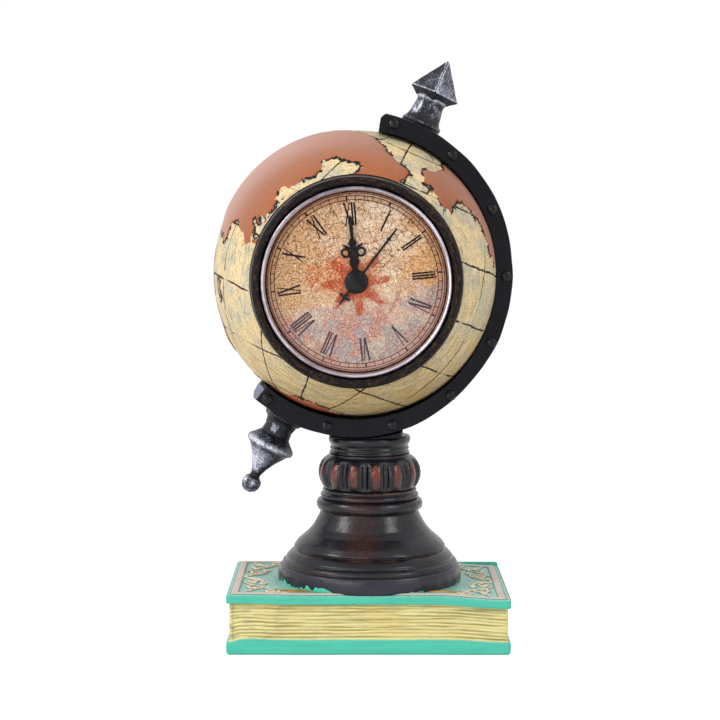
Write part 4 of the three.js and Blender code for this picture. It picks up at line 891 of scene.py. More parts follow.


# A section that follows the ball's curve inside and the ellipse outside, carried round the
# clock-face angle; its edges are rounded, and both ends close to their middle. The lower end has
# a bevel at the front, which carries a painted highlight; the crest mark says how far.
def arcLoops():
    start, end, halfDepth = arc["start"], arc["end"], arc["depth"] / 2
    inner = np.linspace(-halfDepth, halfDepth, 25)
    y = np.concatenate([inner, np.full(7, halfDepth), inner[::-1], np.full(7, -halfDepth)])
    up = np.linspace(0, 1, 9)[1:-1]
    share = np.concatenate([np.zeros(25), up, np.ones(25), up[::-1]])
    sweep = np.concatenate([np.linspace(start, end - 3.5, 290), np.linspace(end - 3.3, end, 14)])
    angle = radians(sweep)[:, None]
    upright = np.cos(angle) ** 2
    bore = np.sqrt(arc["bore"] ** 2 - y ** 2) + arc["frontRelief"] * upright * rise(-y, 8.5, 16)
    fromEnd = np.minimum(sweep - start, end - sweep) * math.pi / 180 * shared["arcHalfWidth"]
    rim = 1 / np.hypot(np.sin(angle) / shared["arcHalfWidth"],
                       np.cos(angle) / shared["arcHalfHeight"])
    flatMiddle, flatHalf, flatDepth = arc["flatSpot"]
    rim = rim - (flatDepth * np.exp(-((sweep - flatMiddle) / flatHalf) ** 2))[:, None]
    rim = rim - np.clip(arc["endChamfer"] - fromEnd, 0, None)[:, None] ** 1.3
    radius = bore + (rim - bore) * share
    section = np.stack([radius, np.broadcast_to(y, radius.shape)], -1)
    section = np.stack([softLine(row, 1, arc["edgeRound"] * 0.45, True, 84) for row in section])
    radius, y = section[..., 0], section[..., 1]
    fromLow = radians(end - sweep)[:, None] * shared["arcHalfWidth"]
    bevel = np.clip(arc["endBevel"] - fromLow, 0, None) * 0.8
    y = np.maximum(y, bevel - halfDepth)
    # painted highlight on the front bevel of the lower end
    worn = rise(bevel, 0.0, 0.5) * rise(-y, 8, 11) * rise(radius, 54.5, 56)
    places = np.stack([radius * np.sin(angle), y, radius * np.cos(angle)], -1)
    uneven = arc["unevenDepth"] * unevenness(places, arc["unevenSize"], 3)
    radius = radius + uneven * rise(radius, 56, 58.5)
    loops = np.stack([
        globeMiddle[0] + radius * np.sin(angle), y, globeMiddle[2] + radius * np.cos(angle),
    ], -1)
    first, last = (
        [loops[row].mean(0) + (loops[row] - loops[row].mean(0)) * size for size in (0.45, 0.9)]
        for row in (0, -1)
    )
    loops = np.concatenate([first, loops, last[::-1]])
    return loops, np.concatenate([worn[:1], worn[:1], worn, worn[-1:], worn[-1:]]).ravel()


# A rounded rectangle carried up to just under the arc's ellipse, its top and bottom drawn in to
# nothing in three steps.
def saddleLoops():
    bottom, width, depth, corner, offset = arc["saddle"]
    x, y, gap = width / 2, depth / 2, shared["fitGap"]
    plan = softLine([(-x, -y), (x, -y), (x, y), (-x, y)], 0.8, corner * 0.42, True)
    plan *= [width / np.ptp(plan[:, 0]), depth / np.ptp(plan[:, 1])]
    rows = []
    for size, level in arc["saddleRows"]:
        flat = plan * size + [shared["pedestalX"] + offset, 0]
        across = (flat[:, 0] - globeMiddle[0]) / (shared["arcHalfWidth"] + gap)
        drop = (shared["arcHalfHeight"] + gap) * np.sqrt(1 - across ** 2)
        high = np.maximum(globeMiddle[2] - drop - 0.02, bottom + 0.02)
        rows.append(np.column_stack([flat, bottom + (high - bottom) * level]))
    return np.stack(rows)


# A dome over a short shank, a little out of round; turned to the front of the arc.
def rivetShell(number):
    share = number / (arc["rivetCount"] - 1)
    angle = math.radians(arc["rivetFirst"] + (arc["rivetLast"] - arc["rivetFirst"]) * share)
    turn = np.linspace(0, math.pi / 2 * 0.97, 12)
    dome = np.stack([arc["rivetRadius"] * np.cos(turn), 0.1 + arc["rivetHeight"] * np.sin(turn)], 1)
    profile = np.vstack([[(0.3, -3.9), (0.95, -3.9), (1.0, -3.6), (1.0, 0.1)], dome])
    loops = turnedLoops(profile, 32)
    loops *= 1 + 0.05 * unevenness(loops, 3, 300 + number)[..., None] * [1, 1, 0]
    x = globeMiddle[0] + arc["rivetHalfWidth"] * math.sin(angle) + loops[..., 0]
    z = globeMiddle[2] + arc["rivetHalfHeight"] * math.cos(angle) + loops[..., 1]
    return shellFrom(np.stack([x, -arc["depth"] / 2 - loops[..., 2], z], -1))


arcFinish = arcPaint("arcPaint", 0.12, 0.32, 0.46)
rivetFinish = arcPaint("rivetPaint", 0.2, 0.12, 0.2)
band, bandGlare = arcLoops()
addPiece("arc_band", shellFrom(band), arcFinish, ["meridian_arc"],
         marks={"crest": bandGlare})
addPiece("saddle", shellFrom(saddleLoops()), arcFinish, ["saddle_block"])
for number in range(arc["rivetCount"]):
    addPiece(f"rivet_{number + 1}", rivetShell(number), rivetFinish,
             [f"arc_rivet_{number + 1}"])
print("arc made")


# Globe

globe = {
    "wall": 4.0,
    "holeRadius": 39.3,
    "columns": 384,
    "frontRows": 150,
    "rearRows": 84,
    "step": 0.4,
    "swell": 1.0,
    "parallelEvery": 22.0,
    "meridianEvery": 30.0,
    "meridianOffset": 2.5,
    "parallelHalf": 0.38,
    "meridianHalf": 0.31,
    "strokeWidth": 0.75,
    "sea": (246, 216, 160),
    "seaShade": (200, 162, 94),
    "seaGrey": (194, 190, 168),
    "scratch": (120, 126, 122),
    "bare": (126, 118, 106),
    "bareDark": (98, 92, 84),
    "land": (174, 119, 94),
    "landOrange": (172, 102, 64),
    "landLimbSheen": (207, 167, 156),
    "seaLight": (255, 240, 196),
    "seaSpeck": (138, 138, 116),
    "seaDot": (250, 236, 196),
    "faintLine": (96, 104, 96),
    "chalk": (214, 218, 206),
    "landEast": (138, 82, 54),
    "landLow": (176, 96, 58),
    "landBrush": (170, 106, 78),
    "landSpeck": (222, 182, 160),
    "landRim": (196, 96, 54),
    "ink": (18, 17, 18),
}
# coasts as [angle from the front, clock-face angle] in degrees
frontLands = [
    [
        (82.3, 289.4), (71.7, 286.5), (66.8, 284.1), (67.6, 287.5), (66.6, 291.7), (65.7, 294.6),
        (62.0, 296.0), (59.8, 293.7), (54.5, 290.2), (51.4, 287.5), (49.5, 286.2), (47.6, 288.1),
        (43.0, 289.0), (43.0, 289.8), (48.5, 289.9), (48.6, 292.1), (49.2, 295.7), (52.7, 298.6),
        (51.1, 300.5), (48.6, 298.5), (49.3, 302.8), (47.1, 303.4), (47.2, 305.5), (46.1, 308.8),
        (46.4, 311.4), (47.7, 316.1), (51.5, 317.3), (50.4, 320.5), (47.8, 323.7), (47.6, 328.0),
        (47.2, 331.1), (47.0, 337.0), (49.3, 341.0), (53.2, 343.2), (54.5, 344.6), (54.0, 351.7),
        (52.2, 353.2), (51.1, 355.9), (49.6, 362.2), (47.8, 365.2), (46.5, 364.7), (45.0, 361.8),
        (42.0, 356.1), (38.0, 380.0), (46.5, 386.0), (46.9, 386.8), (50.4, 386.4), (52.1, 385.2),
        (53.4, 380.5), (56.5, 376.5), (60.5, 373.2), (66.4, 369.6), (71.0, 367.4), (79.1, 360.3),
        (88, 352), (97, 344), (110, 342), (121, 331), (114, 318), (105, 314), (99, 303), (91, 297),
        (87, 291),
    ],
    [
        (70.5, 39.6), (64.3, 38.8), (56.7, 32.2), (53.3, 33.6), (51.1, 36.0), (51.0, 40.4),
        (48.4, 41.4), (49.7, 44.4), (48.9, 47.6), (48.6, 50.5), (50.0, 54.7), (51.5, 55.2),
        (54.8, 52.9), (57.8, 53.1), (61.4, 55.9), (63.0, 59.4), (63.7, 63.0), (65.7, 67.2),
        (66.0, 72.5), (66.6, 77.6), (69.6, 83.7), (74, 87), (90, 93), (108, 91), (122, 80),
        (128, 62), (119, 46), (104, 40), (88, 37), (77, 38),
    ],
    [
        (81.0, 219.7), (73.4, 216.7), (73.0, 213.3), (69.7, 208.3), (68.0, 205.3), (65.9, 198.2),
        (69.0, 192.4), (74.0, 190.6), (80.4, 186.2), (95, 180), (110, 187), (117, 204), (104, 221),
        (90, 226),
    ],
    [
        (82.6, 281), (81.2, 276), (82.3, 270), (80.6, 264), (81.8, 259), (79.6, 252), (80.4, 247),
        (83, 242), (90, 237), (99, 236), (114, 247), (119, 262), (108, 275), (95, 281),
    ],
    [(69.3, 268.6), (71.0, 268.2), (71.6, 264.4), (70.6, 260.6), (69.4, 261.4), (69.8, 265.0)],
]
# the same for the rear, with the angle taken from the back
rearLands = [
    [
        (9, 20), (16, 345), (24, 322), (38, 330), (50, 350), (58, 12), (50, 27), (40, 22), (34, 40),
        (22, 62), (12, 70),
    ],
    [
        (18, 170), (27, 150), (40, 158), (47, 172), (55, 185), (52, 205), (40, 214), (30, 205),
        (24, 190),
    ],
    [(31, 108), (37, 101), (42, 108), (38, 118), (32, 117)],
    [(30, 262), (36, 254), (44, 262), (41, 275), (33, 274)],
]


# the flat map round a pole: the angle from it is the distance, the clock-face angle the direction
def mapPlace(angle, clock):
    return np.stack([angle * np.sin(radians(clock)), angle * np.cos(radians(clock))], -1)


# even-odd rule: a place is inside when a line from it to the right crosses the outline an odd
# number of times
def insideOutline(places, outline):
    x, y = places[:, :1], places[:, 1:]
    x1, y1 = outline[:, 0], outline[:, 1]
    x2, y2 = np.roll(x1, -1), np.roll(y1, -1)
    crosses = ((y1 <= y) != (y2 <= y)) & (x < x1 + (y - y1) / (y2 - y1 + 1e-12) * (x2 - x1))
    return crosses.sum(1) % 2 == 1


# signed distance in millimetres from each unit direction to the coasts, positive on land
def coastDistance(directions):
    clock = np.degrees(np.arctan2(directions[:, 0], directions[:, 2])) % 360
    fromFront = np.degrees(np.arccos(np.clip(-directions[:, 1], -1, 1)))
    inside = np.zeros(len(directions), bool)
    shores = []
    for lands, angle, side in ((frontLands, fromFront, -1), (rearLands, 180 - fromFront, 1)):
        places = mapPlace(angle, clock)
        for land in lands:
            outline = mapPlace(*np.array(land, float).T)
            inside |= insideOutline(places, outline)
            fine = softLine(outline, 0.8, 0, True)
            far = radians(np.linalg.norm(fine, axis=1))
            way = fine / np.linalg.norm(fine, axis=1)[:, None]
            shores.append(np.stack([np.sin(far) * way[:, 0], side * np.cos(far),
                                    np.sin(far) * way[:, 1]], 1))
    shore = np.vstack(shores)
    nearest = np.concatenate([
        np.sqrt(np.clip(2 - 2 * (part @ shore.T).max(1), 0, None))
        for part in np.array_split(directions, 60)
    ])
    distance = nearest * shared["globeRadius"]
    return np.where(inside, distance, -distance)


# Rows of rings run from the rear pole round the outside to the clock's hole, and back inside the
# wall to the pole. The land stands on a low step and swells inland; under the arc it lies flat.
def globeShell():
    radius = shared["globeRadius"]
    inner = radius - globe["wall"]
    clock = fullTurn(globe["columns"])
    drop = globeMiddle[2] - dialMiddle[2]
    ringReach = np.sqrt(globe["holeRadius"] ** 2 - (drop * np.sin(clock)) ** 2)
    ringReach = -drop * np.cos(clock) + ringReach

    def directionsAt(angle):
        return np.stack([np.sin(angle) * np.sin(clock), -np.cos(angle),
                         np.sin(angle) * np.cos(clock)], -1)

    def reliefAt(directions):
        flat = directions.reshape(-1, 3)
        coast = coastDistance(flat)
        places = flat * radius
        coast = coast + 0.55 * unevenness(places, 5.5, 11) + 0.35 * unevenness(places, 2.4, 12)
        height = globe["step"] * rise(coast, -0.35, 0.45)
        height = height + globe["swell"] * (1 - np.exp(-np.clip(coast, 0, None) / 9))
        height = height * (1 - 0.9 * rise(-flat[:, 0], 0.88, 0.95))
        hidden = np.clip((np.abs(places[:, 1]) - 15.5) / 5, 0, 1)
        angle = np.degrees(np.arctan2(places[:, 0], places[:, 2])) % 360
        underArc = rise(angle, arc["start"] - 4, arc["start"]) * rise(arc["end"] + 4 - angle, 0, 4)
        height = height * (1 - underArc * (1 - hidden)) + 0.05 * unevenness(places, 8, 13) * hidden
        return coast.reshape(directions.shape[:2]), height.reshape(directions.shape[:2])

    edge = np.arcsin(ringReach / radius)
    share = np.concatenate([
        np.linspace(0, 1, globe["frontRows"])[:, None] * 0.42,
        0.42 + 0.58 * np.linspace(0, 1, globe["rearRows"] + 1)[1:, None] ** 1.05,
    ])
    share = share[share[:, 0] < 0.995]
    angle = edge + (math.pi - edge) * share
    coast, height = reliefAt(directionsAt(angle))
    lifted = np.arcsin(ringReach / (radius + height[0]))
    angle = angle + (lifted - edge) * np.exp(-share * 60)
    outside = directionsAt(angle) * (radius + height)[..., None]
    innerEdge = np.arcsin(ringReach / inner)
    innerAngle = innerEdge + (math.pi - innerEdge) * np.linspace(0, 0.97, 14)[:, None]
    inside = directionsAt(innerAngle) * inner
    loops = np.concatenate([outside[::-1], inside]) + globeMiddle
    marks = np.concatenate([coast[::-1].ravel(), np.full(inside.shape[0] * inside.shape[1], -9.0)])
    return shellFrom(loops), marks


# sea and land in brushed coats, with painted shade on the sea towards the bottom and a painted pink
# sheen on the land towards the ball's outline, black lines of latitude and longitude that wear thin
# in places, and black marks along the coasts; strokes run round the clock, in an even map about its
# axis, and the inside of the wall is bare
def globePaint():
    paint = Finish("globePaint", Specular_IOR_Level=0.25)
    onPole = paint.moved(shared["globeMiddle"], (0, -shared["poleTilt"], 0))
    px, py, pz = paint.parts(onPole)
    reach = paint.vector("LENGTH", onPole)
    latitude = paint.sums("ARCSINE", pz / reach)
    longitude = paint.sums("ARCTAN2", px, py * -1.0)
    toDegrees = 180 / math.pi
    degreeLength = math.pi * shared["globeRadius"] / 180
    shaky = paint.noise(16, 2).fade(0.2, 0.8, -0.5, 0.5)

    # millimetres to the nearest of the lines that stand every so many degrees
    def lineDistance(value, offset, every):
        middle = paint.sums("FRACT", (value + shaky + offset) / every + 0.5) - 0.5
        return abs(middle) * (every * degreeLength)

    # black where the wear lets it through, and as wide as the ragged half width there
    def inked(distance, half, wear):
        ragged = paint.noise(1.4, 2).fade(0.3, 0.7, 0.6 * half, 1.3 * half)
        return (distance - wear.fade(0.4, 0.46) * ragged).fade(-0.08, 0.05, 1, 0)

    across = lineDistance(latitude * toDegrees, 0.0, globe["parallelEvery"])
    down = lineDistance(longitude * toDegrees, globe["meridianOffset"], globe["meridianEvery"])
    down = down * paint.sums("COSINE", latitude)
    otherWear = paint.noise(15, 3, 0.5, where=paint.moved((47, 5, 3)))
    line = paint.sums("MAXIMUM", inked(across, globe["parallelHalf"], paint.noise(11, 3, 0.5)),
                      inked(down, globe["meridianHalf"], otherWear))
    faint = paint.sums("MINIMUM", across, down).fade(0.08, 0.28, 0.45, 0)

    jagged = paint.mark("coast") + paint.noise(1.5, 3, 0.6).fade(0.2, 0.8, -0.55, 0.55)
    onLand = jagged.fade(-0.06, 0.06)
    x, y, z = paint.parts(paint.moved(shared["globeMiddle"]))
    flat = paint.moved(shared["dialMiddle"], stretch=(1, 0, 1))
    axisGap = paint.vector("LENGTH", flat)
    perStroke = shared["globeRadius"] / globe["strokeWidth"]
    fromFront = paint.sums("ARCTAN2", axisGap, y * -1.0) * perStroke
    strokes = paint.vector("NORMALIZE", flat).sized(9.0)
    strokes = strokes.shifted(paint.add("ShaderNodeCombineXYZ", {1: fromFront}))
    strokes = strokes.shifted(paint.place.sized(0.06))
    brushed = paint.noise(1, 4, 0.7, 0.4, strokes)
    wide = paint.noise(2.6, 3, 0.6, 0.5, strokes)
    cloud = paint.noise(10, 4, 0.6)
    speck = paint.noise(0.55, 2, 0.7)

    # painted shade: the sea darkens towards the bottom and a little to the right
    seaShading = x * 0.002 + z * -0.016 + wide.fade(0.25, 0.75, -0.35, 0.35)
    grey = cloud.fade(0.38, 0.6) * z.fade(-45, 5, 0.35, 1.0) * wide.fade(0.35, 0.6, 0.25, 1.0)
    patches = paint.noise(5.5, 3, where=paint.moved((60, 0, 0))).fade(0.4, 0.56, 0.15, 1.0)
    westMarks = x.fade(-46, -49) * paint.noise(2.4, 2, 0.5).fade(0.4, 0.44)
    marksHere = paint.sums("MAXIMUM", paint.noise(5.5, 2, 0.45).fade(0.47, 0.49), westMarks)
    markWidth = paint.noise(1.8, 2).fade(0.3, 0.7, 0.6, 2.0)
    shoreMark = marksHere * (jagged + markWidth).fade(0.0, 0.1)
    chalk = (jagged + 0.8).fade(0.0, 0.5) * cloud.fade(0.5, 0.56)
    sea = paint.coats(
        globe["sea"],
        (seaShading.fade(0.0, 1.0), globe["seaShade"]),
        (grey, globe["seaGrey"]),
        (brushed.fade(0.53, 0.62) * patches * 0.8, globe["scratch"]),
        (brushed.fade(0.34, 0.44, 0.55, 0), globe["seaLight"]),
        (speck.fade(0.54, 0.64, 0, 0.6), globe["seaSpeck"]),
        (speck.fade(0.36, 0.45, 0.5, 0), globe["seaDot"]),
        (faint, globe["faintLine"]),
        (line, globe["ink"]),
        (shoreMark, globe["ink"]),
        (chalk * (1.0 - shoreMark), globe["chalk"]),
    )
    # painted sheen: the land turns pink towards the ball's outline, less at the upper right, not at
    # the bottom
    pale = axisGap.fade(47.5, 57) * wide.fade(0.3, 0.7, 0.75, 1.0)
    pale = pale * (z + x * 0.5).fade(30, 55, 1, 0.45) * z.fade(-44, -34, 0, 1)
    land = paint.coats(
        globe["land"],
        (axisGap.fade(41, 51, 1.0, 0), globe["landOrange"]),
        (pale, globe["landLimbSheen"]),
        (x.fade(26, 42, 0, 0.8) * axisGap.fade(48, 42, 0, 1), globe["landEast"]),
        (z.fade(-34, -44, 0, 0.8), globe["landLow"]),
        (wide.fade(0.45, 0.7, 0, 0.25), globe["landBrush"]),
        (speck.fade(0.55, 0.75, 0, 0.2), globe["landSpeck"]),
        (jagged.fade(0.0, 0.8, 0.55, 0), globe["landRim"]),
    )
    wallInside = shared["globeRadius"] - globe["wall"]
    bare = paint.blend(cloud.fade(0.35, 0.65), globe["bare"], globe["bareDark"])
    colour = paint.coats(sea, (onLand, land),
                         (reach.fade(wallInside + 0.2, wallInside + 0.5, 1, 0), bare))
    height = paint.blend(onLand, brushed * 0.35 - line * 0.6, speck * 0.08)
    grain = paint.bumps((height, 0.22), (onLand, 0.2))
    return paint.done(colour, brushed.fade(0.3, 0.7, 0.46, 0.62), grain)


ball, coastMarks = globeShell()
addPiece("globe_ball", ball, globePaint(), ["globe_front_shell", "globe_rear_shell"],
         sharp=60, marks={"coast": coastMarks})
print("globe made")


# Finials

finials = {
    "topAngle": 23.4,
    "bottomAngle": 206.8,
    "flutes": 12,
    "neck": {
        "reach": 7.75,
        "length": 26.8,
        "shares": [
            (0.97, 0), (1.0, 0.02), (1.0, 0.055), (0.92, 0.07), (0.86, 0.1), (0.8, 0.15),
            (0.75, 0.24), (0.71, 0.33), (0.72, 0.37), (0.78, 0.4), (0.7, 0.44),
        ],
        "flutes": (0.12, 0.34),
        "fluteDepth": 0.3,
        "touches": [  # painted highlights and shade, and dark bands round it: direction, level, spread in height, spread round, strength
            (-75, 0.24, 0.14, 0.5, 0.55), (-36, 0.27, 0.09, 0.985, 1.5),
            (-46, 0.17, 0.04, 0.97, 1.0), (22, 0.32, 0.05, 0.9, 0.5), (48, 0.2, 0.06, 0.9, 0.25),
            (0, 0.0, 0.1, -1.01, -1.1),
        ],
    },
    "spearReach": 9.6,
    "spear": [(0.5, 0.385), (0.64, 0.395), (1.0, 0.5), (0.12, 0.955), (0.05, 0.99), (0.02, 1.0)],
    "drop": {
        "reach": 9.6,
        "length": 33.1,
        "shares": [
            (0.78, 0), (0.82, 0.02), (0.78, 0.05), (0.66, 0.08), (0.58, 0.17), (0.62, 0.25),
            (0.93, 0.345), (0.99, 0.37), (1.0, 0.39), (0.97, 0.415), (0.87, 0.435), (0.79, 0.46),
            (0.57, 0.55), (0.33, 0.67), (0.2, 0.77), (0.22, 0.8), (0.34, 0.83), (0.39, 0.87),
            (0.38, 0.92), (0.3, 0.965), (0.16, 0.995), (0.03, 1.0),
        ],
        "flutes": (0.47, 0.74),
        "fluteDepth": 0.2,
        "touches": [
            (16, 0.17, 0.045, 0.95, 1.4), (36, 0.6, 0.17, 0.1, 1.15), (-74, 0.6, 0.2, 0.2, -0.5),
            (0, 0.03, 0.07, -1.01, -1.0), (0, 0.9, 0.09, -1.01, -0.55),
            (52, 0.87, 0.035, 0.93, 1.1), (-10, 0.88, 0.03, 0.95, 1.0),
            (0, 0.42, 0.02, -1.01, -0.6),
        ],
    },
    "pinRadius": 2.5,
    "pinDepth": 2.6,
    "black": (20, 20, 28),
    "silver": (136, 139, 156),
    "bright": (222, 225, 236),
}


# silver dry-brushed on black, densest on what stands out, with painted highlights and shade where
# the crest mark carries them
def silverPaint():
    paint = Finish("silverPaint", Specular_IOR_Level=0.3, Metallic=0.2)
    speckle = paint.noise(0.7, 3, 0.7)
    cloud = paint.noise(3.4, 3)
    amount = paint.mark("crest") + speckle.fade(0.3, 0.7, -0.5, 0.5)
    amount = amount + cloud.fade(0.3, 0.7, -0.25, 0.25)
    colour = paint.coats(finials["black"], (amount.fade(-0.4, 0.4), finials["silver"]),
                         (amount.fade(0.45, 0.95), finials["bright"]))
    return paint.done(colour, speckle.fade(0.3, 0.7, 0.28, 0.46),
                      paint.bumps((speckle, 0.3), (cloud, 0.35)))


# the seat of a finial: just off the arc's ellipse in the finial's own direction
def finialSeat(degrees):
    across = math.sin(math.radians(degrees)) / shared["arcHalfWidth"]
    upward = math.cos(math.radians(degrees)) / shared["arcHalfHeight"]
    return 1 / math.hypot(across, upward) + shared["fitGap"]


# turns loops drawn about +Z to a clock-face angle and puts them on the middle of the globe
def onPole(loops, degrees):
    angle = math.radians(degrees)
    x = loops[..., 0] * math.cos(angle) + loops[..., 2] * math.sin(angle)
    z = loops[..., 2] * math.cos(angle) - loops[..., 0] * math.sin(angle)
    return np.stack([x, loops[..., 1], z], -1) + globeMiddle


# the pin that goes through the arc into the globe, its tip drawn in a little
def pinShell(seat, degrees):
    low, radius = shared["globeRadius"] - finials["pinDepth"], finials["pinRadius"]
    profile = softLine([(radius - 0.5, low), (radius, low + 0.5), (radius, seat + 0.6)], 0.6)
    return shellFrom(onPole(turnedLoops(profile, 32), degrees))


# A turned profile whose radius swings in shallow flutes between two heights. The crest mark is
# high where the profile stands out; it also carries painted highlights and painted shade on given
# sides, and a few dark bands round it.
def flutedShell(kind, seat, degrees):
    form = finials[kind]
    (low, high), length = form["flutes"], form["length"]
    profile = softLine(np.array(form["shares"]) * [form["reach"], length], 0.2, 0.12)
    crest = np.clip(standOut(profile, 0.2, 1.2) * 2.6, -0.5, 1.1)
    angle = fullTurn(finials["flutes"] * 16)
    along = profile[:, 1:] / length
    body = rise(along, low, low + 0.05) * rise(high - along, 0, 0.05)
    swing = np.abs(np.cos(angle * finials["flutes"] / 2)) ** 0.8
    radius = profile[:, :1] - form["fluteDepth"] * body * (1 - swing)
    loops = aroundAxis(radius, seat + profile[:, 1:], angle)
    loops *= 1 + 0.015 * unevenness(loops, 3.5, 44)[..., None] * [1, 1, 0]
    sides = np.stack([np.cos(angle), np.sin(angle)], 1)
    marks = crest[:, None] - 0.25 + 0.25 * body * (swing - 0.6)
    for towards, level, span, width, strength in form["touches"]:
        way = np.array([math.sin(math.radians(towards)), -math.cos(math.radians(towards))])
        near = rise(sides @ way, width, 1.0)
        marks = marks + strength * near * np.exp(-((along - level) / span) ** 2)
    return shellFrom(onPole(loops, degrees)), np.append(marks.ravel(), [0, 0])


# A square with its corners left and right and to the front and back, growing and shrinking up to
# the point. The rims carry a painted highlight, with a dark line between; the left faces get
# painted shade and are the darkest, and the right faces a painted lighter zone near the rim.
def spearShell(seat):
    reach, length = finials["spearReach"], finials["neck"]["length"]
    profile = softLine(np.array(finials["spear"]) * [reach, length], 0.3, 0.06)
    share = 0.5 - 0.5 * np.cos(np.linspace(0, math.pi, 36))[:-1, None]
    corners = np.array([(1, 0), (0, 1), (-1, 0), (0, -1)], float)
    square = np.concatenate([a + (b - a) * share for a, b in zip(corners, np.roll(corners, -1, 0))])
    heights = seat + profile[:, 1, None, None] + np.zeros((1, len(square), 1))
    loops = np.concatenate([profile[:, :1, None] * square[None], heights], -1)
    fromCorner = np.where(square[:, 1] < 0, np.abs(square[:, 0]), 9) * profile[:, :1] * math.sqrt(2)
    fromRim = np.abs(profile[:, 1:] / length - 0.5) * length / 0.82
    above = profile[:, 1:] > 0.5 * length
    edge = np.minimum(fromCorner, np.where(above, fromRim, 9))
    bright = np.exp(-((edge - 0.5) / 0.28) ** 2) - 0.7 * np.exp(-(edge / 0.16) ** 2)
    bright = bright * np.where((square[:, 0] > 0) & (fromCorner > 1), 0.35, 1.0)
    face = np.where(square[:, 0] < 0, -0.36, -0.08)
    face = face + 0.4 * rise(fromRim, 6.5, 1.0) * (square[:, 0] > 0)
    marks = np.where(above, face + 1.25 * bright, -0.8)
    loops += 0.09 * unevenness(loops, 5, 47)[..., None] * [1, 1, 0]
    return shellFrom(onPole(loops, finials["topAngle"])), np.append(marks.ravel(), [0, 0])


silverFinish = silverPaint()
topAngle, bottomAngle = finials["topAngle"], finials["bottomAngle"]
topSeat, lowSeat = finialSeat(topAngle), finialSeat(bottomAngle)
neck, neckMarks = flutedShell("neck", topSeat, topAngle)
spear, spearMarks = spearShell(topSeat)
addPiece("spear_finial", joined([neck, spear, pinShell(topSeat, topAngle)]), silverFinish,
         ["top_finial"],
         marks={"crest": np.concatenate([neckMarks, spearMarks])})
dropShell, dropMarks = flutedShell("drop", lowSeat, bottomAngle)
addPiece("drop_finial", joined([dropShell, pinShell(lowSeat, bottomAngle)]), silverFinish,
         ["bottom_finial"], marks={"crest": dropMarks})
print("finials made")


# Ring, bezel, lens and dial

clock = {
    "ringProfile": [  # radius and distance to the front of the dial axis's origin
        (31.3, 28.48), (39.0, 28.48), (39.0, 41.7), (38.7, 42.6), (38.0, 43.25), (37.2, 43.48),
        (36.3, 43.4), (35.7, 43.1), (35.32, 42.4), (35.3, 37.48), (31.3, 37.48),
    ],
    "bezelProfile": [
        (33.2, 37.78), (35.0, 37.78), (35.0, 43.2), (34.8, 43.75), (34.45, 43.98), (34.1, 43.95),
        (33.25, 43.1), (33.2, 42.68), (33.8, 42.68), (33.8, 41.08), (33.2, 41.08),
    ],
    "lensProfile": [
        (1, 41.38), (20, 41.38), (33.4, 41.38), (33.5, 41.48), (33.5, 42.2), (33.3, 42.34),
        (20, 42.36), (1, 42.38),
    ],
    "rimLine": 38.45,
    "crownRadius": 34.1,
    "dialRadius": 32.9,
    "dialBore": 2.5,
    "dialFront": 39.08,
    "dialBack": 38.78,
    "inkHeight": 0.04,
    "printTurn": 1.2,
    # how far each hour's numeral is turned off its mark
    "numeralTurns": (-2.3, -1.4, -1.2, 2.9, 2.0, 0.3, 0, 1.5, 0.7, 0.4, -1.1, -1.5),
    "numeralFoot": 20.7,
    "numeralHead": 28.9,
    "letterWidths": {"I": 0.98, "V": 2.4, "X": 2.6},
    "trackCircles": (30.0, 31.5, 32.4),
    "trackHalves": (0.34, 0.13),  # every fifth, and the others
    "lineWidth": 0.3,
    "edgeLine": 32.95,
    "haloRadius": 16.5,
    "thickStroke": 0.68,
    "thinStroke": 0.4,
    "serif": 0.24,
    "serifReach": 0.46,
    "paper": (218, 180, 146),
    "paperLight": (238, 214, 184),
    "ochre": (222, 158, 86),
    "tan": (206, 156, 104),
    "redBrown": (184, 72, 38),
    "orange": (206, 112, 58),
    "rose": (198, 126, 112),
    "grey": (158, 154, 156),
    "haloTone": (140, 78, 54),
    "darkSpot": (122, 70, 40),
    "darkSpotLow": (104, 90, 98),
    "lightSpot": (252, 236, 204),
    "lightSpotLow": (240, 234, 230),
    "crackTone": (104, 52, 38),
    "rimLow": (222, 166, 146),
    "rimHigh": (196, 140, 104),
    "edgeTone": (86, 46, 42),
    "ageTone": (84, 54, 44),
    "ink": (30, 24, 27),
    "inkGrey": (78, 66, 76),
    "inkWorn": (158, 118, 100),
    "ringBlack": (21, 17, 18),
    "ringBrown": (86, 62, 46),
    "ringDark": (20, 18, 22),
    "ringRimHighlight": (132, 134, 140),
    "plate": (112, 104, 114),
    "plateLight": (150, 142, 152),
    "plateBrown": (172, 146, 138),
    "plateSpeck": (118, 96, 94),
    "plateHighlight": (214, 212, 222),
    "glass": (250, 252, 252),
    "glassGrey": (244, 248, 250),
}


# a profile about the dial axis, closed into a ring
def dialTurned(profile, step=0.3, softness=0.12):
    line = softLine(profile, step, softness, True)
    return shellFrom(onDial(turnedLoops(line, 256)), "join")


